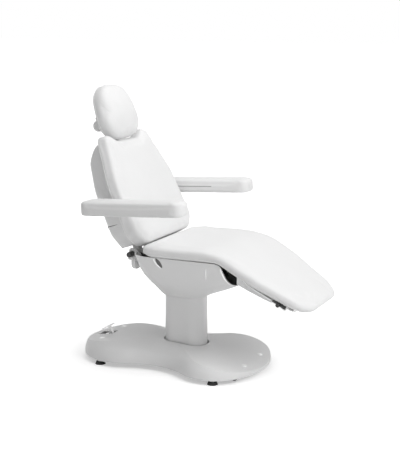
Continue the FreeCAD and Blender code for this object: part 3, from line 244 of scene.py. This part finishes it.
def upholster(name, grid, fit):
    # Remeshed, swelled by air pressure with its underside held, then smoothed and subdivided once
    piece = closedGrid(name, grid)
    remesh = piece.modifiers.new("remesh", "REMESH")
    remesh.mode = "VOXEL"
    remesh.voxel_size = fit["voxel"]
    smooth = piece.modifiers.new("smooth", "SMOOTH")
    smooth.factor, smooth.iterations = clothSet["smooth"], clothSet["firstSmooth"]
    bake(piece)
    rest = readPoints(piece.data)
    under = readNormals(piece.data) @ np.array(fit["face"]) < clothSet["held"]
    hold = piece.vertex_groups.new(name="hold")
    hold.add(np.flatnonzero(under).tolist(), 1.0, "REPLACE")
    cloth = piece.modifiers.new("cloth", "CLOTH")
    cloth.settings.use_pressure = True
    cloth.settings.uniform_pressure_force = fit["pressure"]
    cloth.settings.vertex_group_mass = "hold"
    cloth.settings.effector_weights.gravity = 0
    cloth.settings.quality = clothSet["quality"]
    cloth.point_cache.frame_start, cloth.point_cache.frame_end = 1, clothSet["frames"]
    for step in range(1, clothSet["frames"] + 1):
        scene.frame_set(step)
    bake(piece)
    scene.frame_set(1)
    move = readPoints(piece.data) - rest
    size = np.linalg.norm(move, axis=1)[:, None]
    move *= np.minimum(1, fit["cap"] / np.maximum(size, 1e-9))
    writePoints(piece.data, rest + move)
    piece.vertex_groups.clear()
    smooth = piece.modifiers.new("smooth", "SMOOTH")
    smooth.factor, smooth.iterations = clothSet["smooth"], fit["smooth"]
    finer = piece.modifiers.new("finer", "SUBSURF")
    finer.levels = finer.render_levels = 1
    bake(piece)
    print("stage:", name, len(piece.data.polygons), "faces")
    return piece


def welt(name, path, target, spec):
    # A sewn welt lying half sunk in the cover
    tube = tubeAlong(name, settle(path, target, spec["lift"]), spec["radius"], spec["up"])
    return tube


# Seat and leg pad, one cover over the knee
seatSet = {"rear": 0.374, "front": 0.452, "mid": 0.17, "half": 0.290, "midHalf": 0.281, "tipHalf": 0.205,
           "radii": [0.050, 0.4, 0.12], "count": 420, "thick": 0.058, "crown": 0.0025,
           "top": 0.090, "low": 0.0290, "topBend": 0.36, "lowBend": 0.060, "toe": 0.040, "toeRise": 0.22,
           "profile": [(0.030, 0.0), (0.019, 0.10), (0.009, 0.26), (0.002, 0.46), (0.0, 0.62),
                       (0.005, 0.79), (0.018, 0.915), (0.045, 0.98), (0.085, 1.0)],
           "fit": {"voxel": 0.0068, "face": (0, 0, 1), "pressure": 3.0, "cap": 0.004, "smooth": 6,
                   "fill": 0.75},
           "blend": {"start": (-0.10, 0, 0.075), "end": (0.125, 0, 0.02)},
           "welt": {"radius": 0.0015, "lift": 0.0001, "up": (0, 0, 1), "height": 0.30, "inset": 0.007}}


def bendPath(height, bend, station):
    # Level behind the knee and sloping in front of it, at a height over the hinge, with an arc between
    back = (bend - height) * math.tan(legSlope / 2)
    arc = bend * legSlope / 2
    w = station * (arc + np.where(station < 0, seatSet["rear"], seatSet["front"]) - back)
    turn = np.clip(w / bend, -legSlope / 2, legSlope / 2)
    a = legSlope / 2 + turn
    centre = (height - bend) / math.cos(legSlope / 2)
    x = centre * math.sin(legSlope / 2) + bend * np.sin(a) + (w - bend * turn) * np.cos(a)
    z = centre * math.cos(legSlope / 2) + bend * np.cos(a) - (w - bend * turn) * np.sin(a)
    return np.stack([knee[0] + x, np.zeros_like(x), knee[2] + z], -1)


def onSeat(flat):
    # Flat length, width and height of the pad, wrapped over the knee; the toe thins from below
    t, y, h = flat[..., 0], flat[..., 1], flat[..., 2] / seatSet["thick"]
    station = np.where(t < 0, t / seatSet["rear"], t / seatSet["front"])
    thin = np.clip((t - seatSet["front"] + seatSet["toe"]) / seatSet["toe"], 0, 1) ** 2 * seatSet["toeRise"]
    h = thin + (1 - thin) * h
    low = bendPath(seatSet["low"], seatSet["lowBend"], station)
    high = bendPath(seatSet["top"], seatSet["topBend"], station)
    place = low + (high - low) * h[..., None]
    place[..., 1] = y
    return place


def makeSeat():
    s, w = seatSet, seatSet["welt"]
    corners = [(-s["rear"], -s["half"]), (s["mid"], -s["midHalf"]), (s["front"], -s["tipHalf"]),
               (s["front"], s["tipHalf"]), (s["mid"], s["midHalf"]), (-s["rear"], s["half"])]
    outline = roundedOutline(corners, s["radii"] + s["radii"][::-1], s["count"])
    grid = onSeat(wholePad(outline, padRings(s["profile"], s["thick"], s["crown"], s["half"])))
    pad = upholster("seatPad", grid, s["fit"])
    ring = onSeat(pillow(outline, [(w["inset"], w["height"] * s["thick"])])[0])
    edge = welt("seatWelt", ring, pad, w)
    for piece in (pad, edge):
        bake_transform(piece)
    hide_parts("seat_cushion", "knee_cushion", "leg_cushion")
    return [pad, edge]


# Backrest pad
backSet = {"low": 0.040, "thick": 0.060, "crown": 0.005, "curl": 0.11, "level": 0.30, "root": 0.35,
           "count": 420, "reach": 0.27,
           "corners": [(0.220, 0.020), (0.289, 0.080), (0.281, 0.330), (0.192, 0.578), (0.095, 0.524)],
           "radii": [0.060, 0.080, 0.250, 0.042, 0.080],
           "profile": [(0.008, 0.0), (0.002, 0.08), (0.0, 0.25), (0.0, 0.55), (0.001, 0.74), (0.005, 0.88),
                       (0.014, 0.965), (0.042, 1.0)],
           "fit": {"voxel": 0.0062, "face": tuple(backOut), "pressure": 3.0, "cap": 0.005, "smooth": 6,
                   "fill": 0.75},
           "welt": {"radius": 0.0015, "lift": 0.0001, "up": tuple(backOut), "height": 0.14, "inset": 0.003}}


def onBack(flat):
    # Width, height up the back and depth out of it, from the hinge line
    place = backHinge + flat[..., 1:2] * backUp + flat[..., 2:3] * backOut
    place[..., 1] = flat[..., 0]
    return place


def curled(flat, s):
    # Over its level the pad leans back as it rises, and under it the face swells out more than the root
    height, depth = flat[..., 1], flat[..., 2]
    lean = s["curl"] * (s["level"] - height)
    face = np.clip(depth / s["thick"], 0, 1)
    bent = flat.copy()
    bent[..., 2] = depth + np.where(lean > 0, lean * (s["root"] + (1 - s["root"]) * face), lean)
    return bent


def bothHalves(corners, radii):
    # One half's corners, then their mirror image in reverse
    left = [(-y, s) for y, s in reversed(corners)]
    return corners + left, radii + radii[::-1]


def backPiece(name, s, body, node):
    w = s["welt"]
    outline = roundedOutline(*bothHalves(s["corners"], s["radii"]), s["count"])
    grid = curled(wholePad(outline, padRings(s["profile"], s["thick"], s["crown"], s["reach"])), s)
    grid[..., 2] += s["low"]
    pad = upholster(name + "Pad", onBack(grid), s["fit"])
    ring = curled(pillow(outline, [(w["inset"], w["height"] * s["thick"])])[0], s)
    ring[..., 2] += s["low"]
    edge = welt(name + "Welt", onBack(ring), pad, w)
    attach(pad, body)
    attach(edge, body)
    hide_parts(node)
    return [pad, edge]


# Headrest
headSet = {"low": 0.0125, "thick": 0.080, "crown": 0.018, "curl": 0.0, "level": 0.6, "root": 0.35,
           "count": 300, "reach": 0.125,
           "corners": [(0.096, 0.529), (0.157, 0.596), (0.116, 0.792)], "radii": [0.095, 0.085, 0.108],
           "profile": [(0.010, 0.0), (0.002, 0.10), (0.0, 0.30), (0.001, 0.55), (0.006, 0.75),
                       (0.018, 0.90), (0.040, 1.0)],
           "boss": {"radius": 0.0285, "half": 0.088, "forward": 0.006, "round": 0.014, "steps": 9,
                    "around": 48},
           "fit": {"voxel": 0.0048, "face": tuple(backOut), "pressure": 4.0, "cap": 0.005, "smooth": 8,
                   "fill": 0.85},
           "welt": {"radius": 0.0014, "lift": 0.0001, "up": tuple(backOut), "height": 0.16, "inset": 0.002}}


def makeBoss():
    # A barrel along the tilt axis: a circle swept along a line, with quarter rounds at its ends
    s = headSet["boss"]
    centre = np.array(joints["headrest_tilt"]["pos_m"]) + s["forward"] * backOut
    turn = np.linspace(0, np.pi / 2, s["steps"])
    length = s["half"] - s["round"] * (1 - np.sin(turn))
    radius = s["radius"] - s["round"] * (1 - np.cos(turn))
    end = np.stack([length, radius], -1)
    line = np.vstack([end[::-1], end * (-1, 1)])
    around = np.linspace(0, 2 * np.pi, s["around"], endpoint=False)
    ring = np.cos(around)[:, None] * backOut + np.sin(around)[:, None] * backUp
    grid = centre + line[:, :1, None] * np.array([0, 1.0, 0]) + line[:, 1:, None] * ring
    barrel = closedGrid("headBoss", grid)
    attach(barrel, "headrest")
    return barrel


# Armrests
armSet = {"rear": -0.054, "front": 0.451, "inner": 0.309, "outer": 0.425, "thick": 0.065,
          "rise": math.radians(3.4), "corner": 0.036, "count": 300, "crown": 0.001, "reach": 0.05,
          "profile": [(0.010, 0.0), (0.003, 0.04), (0.0, 0.14), (0.0, 0.40), (0.0, 0.70), (0.001, 0.85),
                      (0.004, 0.94), (0.011, 0.99), (0.026, 1.0)],
          "fit": {"voxel": 0.0042, "face": (0, 0, 1), "pressure": 3.0, "cap": 0.0025, "smooth": 1,
                  "fill": 0.85},
          "welt": {"radius": 0.0013, "lift": 0.0001, "up": (0, 0, 1), "height": 0.08, "inset": 0.002},
          "seam": {"from": -0.040, "to": 0.265, "radius": 0.0012, "lift": -0.0001, "count": 80,
                   "around": 8}}


def onArm(flat, side):
    # Length from the arm's shaft, width and height, nose raised a little
    along = np.array([math.cos(armSet["rise"]), 0, math.sin(armSet["rise"])])
    up = np.array([-along[2], 0, along[0]])
    place = armAxis + flat[..., :1] * along + flat[..., 2:3] * up
    place[..., 1] = side * flat[..., 1]
    return place


def makeArm(side, word):
    s, w, line = armSet, armSet["welt"], armSet["seam"]
    corners = [(s["rear"], s["inner"]), (s["front"], s["inner"]),
               (s["front"], s["outer"]), (s["rear"], s["outer"])]
    outline = roundedOutline(corners, [s["corner"]] * len(corners), s["count"])
    grid = wholePad(outline, padRings(s["profile"], s["thick"], s["crown"], s["reach"]))
    grid[..., 2] -= s["thick"] / 2
    pad = upholster("armPad" + word, onArm(grid, side), s["fit"])
    ring = pillow(outline, [(w["inset"], (w["height"] - 0.5) * s["thick"])])[0]
    edge = welt("armWelt" + word, onArm(ring, side), pad, w)
    # The closing seam runs along the sitter's side, as a thin dark tube: painted shade in its crease
    at = np.linspace(line["from"], line["to"], line["count"])
    flat = np.stack([at, np.full_like(at, s["inner"]), np.zeros_like(at)], -1)
    path = settle(onArm(flat, side), pad, line["lift"])
    slit = tubeAlong("armSeam" + word, path, line["radius"], (0, 0, 1), False, line["around"])
    for piece in (pad, edge, slit):
        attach(piece, word.lower() + "_armrest")
    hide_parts("arm_pad_" + word.lower())
    return [pad, edge], [slit]


# Moulded details of the seat housing
bowlSet = {"lip": {"start": 0.072, "low": -0.034, "turn": math.radians(42.0), "span": (0.022, -0.040),
                   "setBack": 0.005, "radius": 0.0060},
           "pocket": {"top": (-0.108, 0.560), "foot": (-0.085, 0.514), "half": 0.0095, "lift": 0.0006,
                      "grid": (40, 13), "tip": 0.03, "power": 0.7, "thick": 0.0015},
           "rim": {"path": [(-0.121, 0.559), (-0.116, 0.545), (-0.107, 0.528), (-0.091, 0.511)],
                   "radius": 0.0042},
           "rib": {"path": [(0.1373, 0.530), (0.1265, 0.478)], "radius": 0.0030},
           "outside": 0.29, "count": 60, "lift": 0.0008, "ease": 4, "around": 12}


def lipLine(lip):
    # Length and height of the housing's front edge: back by the slope's tangent as it rises
    m = np.linspace(*lip["span"], bowlSet["count"])
    t = lip["start"] - lip["setBack"] - (m - lip["low"]) * math.tan(lip["turn"])
    return (knee + t[:, None] * legAlong + m[:, None] * legUp)[:, [0, 2]]


def onBowl(flat, side, lift):
    # Length and height on the housing's side, laid on its surface from outside
    x, z = flat[..., 0], flat[..., 1]
    outside = np.stack([x, np.full_like(x, side * bowlSet["outside"]), z], -1)
    return settle(outside, nodes["seat_housing"], lift, True)


def tapered(count, radius, end=0.04):
    # The radius falls towards both ends as the root of a sine
    return radius * np.sqrt(np.sin(np.linspace(end, 1 - end, count) * np.pi))


def makeBowl():
    # A dark leaf-shaped patch of painted shade where the pocket is, as wide as a power of a sine along it,
    # and three beads laid on the side
    s, light, dark = bowlSet, [], []
    pocket, (rows, columns) = s["pocket"], s["pocket"]["grid"]
    u, v = np.meshgrid(np.linspace(0, 1, rows), np.linspace(-1, 1, columns), indexing="ij")
    top, foot = np.array(pocket["top"]), np.array(pocket["foot"])
    across = np.array([top[1] - foot[1], foot[0] - top[0]]) / np.linalg.norm(top - foot)
    wide = pocket["half"] * (pocket["tip"] + np.sin(np.pi * u) ** pocket["power"])
    leaf = top + (foot - top) * u[..., None] + across * (v * wide)[..., None]
    lines = {"lip": lipLine(s["lip"])}
    lines.update({label: evenly(np.array(s[label]["path"]), s["count"]) for label in ("rim", "rib")})
    for side, word in sides:
        grid = onBowl(leaf, side, pocket["lift"])
        patch = newObject("bowlPocket" + word, grid.reshape(-1, 3), gridFaces(rows, columns))
        thick = patch.modifiers.new("thick", "SOLIDIFY")
        thick.thickness, thick.offset = pocket["thick"], 0.0
        dark.append(faceOutward(bake(patch)))
        for label, line in lines.items():
            path = eased(onBowl(line, side, s["lift"]), s["ease"])
            radius = tapered(s["count"], s[label]["radius"])
            name = "bowl" + label.title() + word
            light.append(tubeAlong(name, path, radius, (0, 1, 0), False, s["around"]))
    for piece in light + dark:
        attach(piece, "carriage")
    return light, dark


# Parting groove round the back shell, drawn as a dark tube of painted shade, with the edge of the lower
# cover under it
grooveSet = {"height": 0.148, "radius": 0.0042, "lift": -0.002, "ridgeDrop": 0.0105, "ridge": 0.0036,
             "ridgeLift": -0.001, "half": 0.26, "depth": -0.095, "front": 0.034, "count": 200, "ease": 4,
             "around": 12}


def makeGroove():
    # A loop round the back at a height, settled on the shell
    s, made = grooveSet, []
    corners = [(-s["half"], s["front"]), (-s["half"], s["depth"]),
               (s["half"], s["depth"]), (s["half"], s["front"])]
    loop = evenly(np.array(corners), s["count"])
    ridgeHeight = s["height"] - s["ridgeDrop"]
    for name, height, radius, lift in (("shellGroove", s["height"], s["radius"], s["lift"]),
                                       ("shellRidge", ridgeHeight, s["ridge"], s["ridgeLift"])):
        flat = np.stack([loop[:, 0], np.full(s["count"], height), loop[:, 1]], -1)
        path = eased(settle(onBack(flat), nodes["back_shell"], lift), s["ease"])
        tube = tubeAlong(name, path, tapered(s["count"], radius), tuple(backUp), False, s["around"])
        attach(tube, "backrest")
        made.append(tube)
    return made


# Side strips of the leg shell over its rails, and domed caps over the base screws
stripSet = {"start": 0.098, "end": 0.380, "half": (0.252, 0.240, 0.212), "low": (-0.034, -0.020, 0.006),
            "rim": 0.0316, "foot": 0.72, "proud": 0.0008, "thick": 0.005, "band": (0.0045, 0.0295),
            "from": 0.131, "to": {"Right": 0.279, "Left": 0.351}, "grid": (60, 10), "edge": 0.0015,
            "rounds": 2}
capSet = {"radius": 0.0135, "rise": 0.0050, "lift": 0.0012, "rings": 8, "around": 32}


def throughThree(values, share):
    # The parabola through a start, middle and end value
    first, middle, last = values
    return first + share * (4 * middle - 3 * first - last) + 2 * share ** 2 * (first + last - 2 * middle)


def makeStrip(side, word):
    # Along the leg and up the shell's slanting wall, just proud of it
    s = stripSet
    rows, columns = s["grid"]
    t, m = np.meshgrid(np.linspace(s["from"], s["to"][word], rows), np.linspace(*s["band"], columns),
                       indexing="ij")
    share = (t - s["start"]) / (s["end"] - s["start"])
    half, low = throughThree(s["half"], share), throughThree(s["low"], share)
    y = half * (s["foot"] + (1 - s["foot"]) * (m - low) / (s["rim"] - low)) + s["proud"]
    grid = knee + t[..., None] * legAlong + m[..., None] * legUp
    grid[..., 1] = side * y
    plate = newObject("legStrip" + word, grid.reshape(-1, 3), gridFaces(rows, columns))
    thick = plate.modifiers.new("thick", "SOLIDIFY")
    thick.thickness, thick.offset = s["thick"], side
    soft = plate.modifiers.new("soft", "BEVEL")
    soft.width, soft.segments, soft.limit_method = s["edge"], s["rounds"], "ANGLE"
    plate = faceOutward(bake(plate))
    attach(plate, "legrest")
    return plate


def makeCaps():
    # A shallow dome over each screw: rings of a circle that rise as they close
    s, made, p = capSet, [], readPoints(nodes["cover_screws"].data)
    rings = np.linspace(0, np.pi / 2, s["rings"])[:-1]
    turn = np.linspace(0, 2 * np.pi, s["around"], endpoint=False)
    wide = s["radius"] * np.append(1.0, np.cos(rings))
    tall = np.append(-s["rise"], s["lift"] + s["rise"] * np.sin(rings))
    circle = np.stack([np.cos(turn), np.sin(turn), np.zeros_like(turn)], -1)
    grid = wide[:, None, None] * circle + tall[:, None, None] * np.array([0, 0, 1.0])
    for front, end in ((-1, "Rear"), (1, "Front")):
        for side, word in sides:
            spot = p[(p[:, 0] * front > 0) & (p[:, 1] * side > 0)]
            low, high = spot.min(0), spot.max(0)
            centre = np.array([*(low + high)[:2] / 2, high[2]])
            made.append(closedGrid("baseCap" + end + word, grid + centre))
    for piece in made:
        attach(piece, "base")
    return made


# Materials
def newMaterial(name):
    material = bpy.data.materials.new(name)
    material.use_nodes = True
    tree = material.node_tree
    return material, tree.nodes, tree.links, tree.nodes["Principled BSDF"]


def newGroup(name, outputs):
    group = bpy.data.node_groups.new(name, "ShaderNodeTree")
    group.interface.new_socket("Vector", in_out="INPUT", socket_type="NodeSocketVector")
    for word in outputs:
        group.interface.new_socket(word, in_out="OUTPUT", socket_type="NodeSocketFloat")
    return group, group.nodes.new("NodeGroupInput").outputs[0], group.nodes.new("NodeGroupOutput")


def noiseNode(tree, vector, scale, detail=3.0, rough=0.5):
    node = tree.nodes.new("ShaderNodeTexNoise")
    node.inputs["Scale"].default_value = scale
    node.inputs["Detail"].default_value = detail
    node.inputs["Roughness"].default_value = rough
    tree.links.new(vector, node.inputs["Vector"])
    return node


def mathNode(tree, operation, first, second=None):
    node = tree.nodes.new("ShaderNodeMath")
    node.operation = operation
    for socket, value in zip(node.inputs, (first, second)):
        if value is None:
            continue
        if isinstance(value, (int, float)):
            socket.default_value = value
        else:
            tree.links.new(value, socket)
    return node.outputs[0]


# Effects: scales in features to a metre, the shift in metres
grainSet = {"bend": 220.0, "shift": 0.0012, "cells": 620.0, "soft": 0.6, "fine": 1500.0, "fineShare": 0.25,
            "drift": 6.0}
mouldSet = {"pits": 1300.0, "drift": 4.5, "marks": 38.0}
brushSet = {"stretch": (900.0, 900.0, 14.0), "drift": 9.0}


def leatherGroup():
    # Pebbled grain from cells bent by noise, with a broad tone drift
    s = grainSet
    group, given, out = newGroup("leatherGrain", ("Height", "Tone"))
    bent = noiseNode(group, given, s["bend"], 2.0)
    mix = group.nodes.new("ShaderNodeVectorMath")
    mix.operation = "MULTIPLY_ADD"
    mix.inputs[1].default_value = (s["shift"],) * 3
    group.links.new(bent.outputs["Color"], mix.inputs[0])
    group.links.new(given, mix.inputs[2])
    cells = group.nodes.new("ShaderNodeTexVoronoi")
    cells.feature = "SMOOTH_F1"
    cells.inputs["Scale"].default_value = s["cells"]
    cells.inputs["Smoothness"].default_value = s["soft"]
    group.links.new(mix.outputs[0], cells.inputs["Vector"])
    fine = noiseNode(group, given, s["fine"], 2.0)
    height = mathNode(group, "SUBTRACT", 1.0, cells.outputs["Distance"])
    height = mathNode(group, "ADD", height, mathNode(group, "MULTIPLY", fine.outputs[0], s["fineShare"]))
    group.links.new(height, out.inputs["Height"])
    group.links.new(noiseNode(group, given, s["drift"], 4.0, 0.6).outputs[0], out.inputs["Tone"])
    return group


def mouldGroup():
    # Spark-eroded mould texture: fine pits, with handling marks over it
    group, given, out = newGroup("mouldTexture", ("Height", "Tone", "Marks"))
    group.links.new(noiseNode(group, given, mouldSet["pits"], 3.0, 0.6).outputs[0], out.inputs["Height"])
    group.links.new(noiseNode(group, given, mouldSet["drift"], 3.0, 0.55).outputs[0], out.inputs["Tone"])
    group.links.new(noiseNode(group, given, mouldSet["marks"], 6.0, 0.7).outputs[0], out.inputs["Marks"])
    return group


def brushGroup():
    # Lines drawn out along one direction by a stretched noise
    group, given, out = newGroup("brushedLines", ("Height", "Tone"))
    stretch = group.nodes.new("ShaderNodeVectorMath")
    stretch.operation = "MULTIPLY"
    stretch.inputs[1].default_value = brushSet["stretch"]
    group.links.new(given, stretch.inputs[0])
    group.links.new(noiseNode(group, stretch.outputs[0], 1.0, 3.0, 0.6).outputs[0], out.inputs["Height"])
    group.links.new(noiseNode(group, given, brushSet["drift"], 2.0).outputs[0], out.inputs["Tone"])
    return group


effects = {"leather": leatherGroup(), "mould": mouldGroup(), "brush": brushGroup()}


def finish(name, effect, look):
    # Two close colours and two roughnesses follow the effect's tone; its height is a bump
    material, parts, links, surface = newMaterial(name)
    group = parts.new("ShaderNodeGroup")
    group.node_tree = effects[effect]
    links.new(parts.new("ShaderNodeTexCoord").outputs["Object"], group.inputs["Vector"])
    tint = parts.new("ShaderNodeMix")
    tint.data_type = "RGBA"
    tint.inputs["A"].default_value = (*look["dark"], 1)
    tint.inputs["B"].default_value = (*look["light"], 1)
    links.new(group.outputs["Tone"], tint.inputs["Factor"])
    links.new(tint.outputs["Result"], surface.inputs["Base Color"])
    rough = parts.new("ShaderNodeMapRange")
    rough.inputs["To Min"].default_value, rough.inputs["To Max"].default_value = look["rough"]
    links.new(group.outputs["Marks" if "Marks" in group.outputs else "Tone"], rough.inputs["Value"])
    links.new(rough.outputs["Result"], surface.inputs["Roughness"])
    bump = parts.new("ShaderNodeBump")
    bump.inputs["Strength"].default_value, bump.inputs["Distance"].default_value = look["bump"]
    links.new(group.outputs["Height"], bump.inputs["Height"])
    links.new(bump.outputs["Normal"], surface.inputs["Normal"])
    surface.inputs["Metallic"].default_value = look.get("metal", 0.0)
    surface.inputs["Sheen Weight"].default_value = look.get("sheen", 0.0)
    return material


def grey(value):
    return (value, value, value)


looks = {
    "cushion": ("leather", {"dark": grey(0.79), "light": grey(0.84), "rough": (0.44, 0.58),
                            "bump": (0.2, 0.0004), "sheen": 0.05}),
    "shell": ("mould", {"dark": grey(0.80), "light": grey(0.85), "rough": (0.38, 0.54),
                        "bump": (0.10, 0.0003)}),
    "column": ("mould", {"dark": grey(0.78), "light": grey(0.83), "rough": (0.30, 0.44),
                         "bump": (0.08, 0.0003)}),
    "frame_paint": ("mould", {"dark": grey(0.05), "light": grey(0.08), "rough": (0.40, 0.60),
                              "bump": (0.20, 0.0004)}),
    "steel": ("brush", {"dark": grey(0.52), "light": grey(0.66), "rough": (0.22, 0.38),
                        "bump": (0.15, 0.0002), "metal": 1.0}),
    "board": ("brush", {"dark": (0.40, 0.36, 0.31), "light": (0.55, 0.51, 0.45), "rough": (0.55, 0.75),
                        "bump": (0.30, 0.0004)}),
    "black_plastic": ("mould", {"dark": grey(0.012), "light": grey(0.022), "rough": (0.30, 0.50),
                                "bump": (0.15, 0.0003)}),
    "actuator": ("mould", {"dark": grey(0.10), "light": grey(0.14), "rough": (0.35, 0.55),
                           "bump": (0.15, 0.0003)}),
    "rubber": ("mould", {"dark": grey(0.010), "light": grey(0.020), "rough": (0.65, 0.85),
                         "bump": (0.30, 0.0005)}),
    # Paler than the shell and part metal, so that the housing's beads and the base caps dressed in it carry
    # a painted highlight
    "trim": ("mould", {"dark": grey(0.86), "light": grey(0.90), "rough": (0.24, 0.36),
                       "bump": (0.08, 0.0003), "metal": 0.45}),
    # Dark grey standing in for shade: painted shade in the arm seams, the housing's pocket and the back
    # shell's parting groove
    "groove": ("mould", {"dark": grey(0.10), "light": grey(0.14), "rough": (0.50, 0.70),
                         "bump": (0.10, 0.0003)}),
}
materials = {slot: finish(slot + "Look", effect, look) for slot, (effect, look) in looks.items()}


def dress(pieces, look):
    for piece in pieces:
        piece.data.materials.clear()
        piece.data.materials.append(materials[look])


# Each CAD node comes in with a material named after its slot
for node in nodes.values():
    dress([node], node.data.materials[0].name.split(".")[0])
dress([nodes["hinge_plates"], nodes["back_crank"], nodes["back_frame"]], "column")
print("stage: materials", len(materials))

dress(makeSeat(), "cushion")
dress(backPiece("back", backSet, "backrest", "back_cushion"), "cushion")
dress(backPiece("head", headSet, "headrest", "headrest_cushion"), "cushion")
dress([makeBoss()], "shell")
for side, word in sides:
    covers, slits = makeArm(side, word)
    dress(covers, "cushion")
    # Seam lines dark for painted shade
    dress(slits, "groove")
light, dark = makeBowl()
# The beads take the paler trim look as a painted highlight
dress(light, "trim")
# The pocket patch is dark for painted shade
dress(dark, "groove")
dress([makeStrip(side, word) for side, word in sides], "trim")
# Caps in the paler trim look: painted highlight on their domes
dress(makeCaps(), "trim")
groove, ridge = makeGroove()
# The groove tube is dark for painted shade
dress([groove], "groove")
dress([ridge], "shell")
print("stage: details")

# Camera fitted to the photo: focal length and picture height in pixels
cameraSet = {"place": (2.2389, -4.7636, 1.70), "down": 11.188, "turn": 25.301, "sensor": 36, "focal": 1150,
             "picture": 457}
camera = bpy.data.objects.new("camera", bpy.data.cameras.new("camera"))
scene.collection.objects.link(camera)
camera.location = cameraSet["place"]
camera.rotation_euler = (math.radians(90 - cameraSet["down"]), 0, math.radians(cameraSet["turn"]))
camera.data.sensor_width = cameraSet["sensor"]
camera.data.lens = cameraSet["focal"] * cameraSet["sensor"] / cameraSet["picture"]
scene.camera = camera

# Floor, world and lamps
floorSet = {"half": 40.0, "tone": 0.90, "near": 0.42, "from": 0.45, "to": 1.3}
skySet = {"light": 0.32, "seen": 1.0}
lampSet = {"keyLamp": {"place": (3.2, -1.0, 3.0), "aim": (0, 0, 0.6), "size": 2.6, "power": 84},
           "topLamp": {"place": (0.2, 0.2, 3.6), "aim": (0, 0, 0), "size": 3.0, "power": 38},
           "fillLamp": {"place": (-1.4, -4.2, 1.4), "aim": (0, 0, 0.5), "size": 2.4, "power": 6}}


def seenRays(tree):
    # One where the ray comes from the camera, a gloss or a glass
    path = tree.nodes.new("ShaderNodeLightPath")
    seen = mathNode(tree, "MAXIMUM", path.outputs["Is Camera Ray"], path.outputs["Is Glossy Ray"])
    return mathNode(tree, "MAXIMUM", seen, path.outputs["Is Transmission Ray"])


def floorLook(look):
    # Lit floor that keeps the shadow, lifted to white for seen rays, and wholly white away from the chair
    material, parts, links, surface = newMaterial("floorLook")
    surface.inputs["Base Color"].default_value = (*grey(look["tone"]), 1)
    surface.inputs["Roughness"].default_value = 1.0
    surface.inputs["Specular IOR Level"].default_value = 0.0
    away = parts.new("ShaderNodeVectorMath")
    away.operation = "LENGTH"
    links.new(parts.new("ShaderNodeTexCoord").outputs["Object"], away.inputs[0])
    rise = parts.new("ShaderNodeMapRange")
    rise.interpolation_type = "SMOOTHSTEP"
    rise.inputs["From Min"].default_value = look["from"]
    rise.inputs["From Max"].default_value = look["to"]
    rise.inputs["To Min"].default_value = look["near"]
    links.new(away.outputs["Value"], rise.inputs["Value"])
    glow = parts.new("ShaderNodeEmission")
    tree = material.node_tree
    lifted = mathNode(tree, "MULTIPLY", rise.outputs["Result"], seenRays(tree))
    links.new(lifted, glow.inputs["Strength"])
    both = parts.new("ShaderNodeAddShader")
    links.new(surface.outputs[0], both.inputs[0])
    links.new(glow.outputs[0], both.inputs[1])
    links.new(both.outputs[0], parts["Material Output"].inputs["Surface"])
    return material


h = floorSet["half"]
square = np.array([(-h, -h, 0), (h, -h, 0), (h, h, 0), (-h, h, 0)], float)
floor = newObject("floor", square, [(0, 1, 2, 3)], False)
floor.data.materials.append(floorLook(floorSet))

scene.world = bpy.data.worlds.new("world")
scene.world.use_nodes = True
sky = scene.world.node_tree
strength = sky.nodes.new("ShaderNodeMapRange")
strength.inputs["To Min"].default_value = skySet["light"]
strength.inputs["To Max"].default_value = skySet["seen"]
sky.links.new(seenRays(sky), strength.inputs["Value"])
sky.nodes["Background"].inputs["Color"].default_value = (1, 1, 1, 1)
sky.links.new(strength.outputs["Result"], sky.nodes["Background"].inputs["Strength"])


def softLamp(name, place, aim, size, power):
    # A round lamp at a place, turned towards its aim
    lamp = bpy.data.objects.new(name, bpy.data.lights.new(name, "AREA"))
    lamp.data.shape = "DISK"
    lamp.data.size = size
    lamp.data.energy = power
    scene.collection.objects.link(lamp)
    lamp.location = place
    toward = np.array(aim) - np.array(place)
    lamp.rotation_euler = (math.atan2(math.hypot(toward[0], toward[1]), -toward[2]), 0,
                           math.atan2(-toward[0], toward[1]))


for name, lamp in lampSet.items():
    softLamp(name, **lamp)
scene.view_settings.view_transform = "Standard"
print("stage: light")
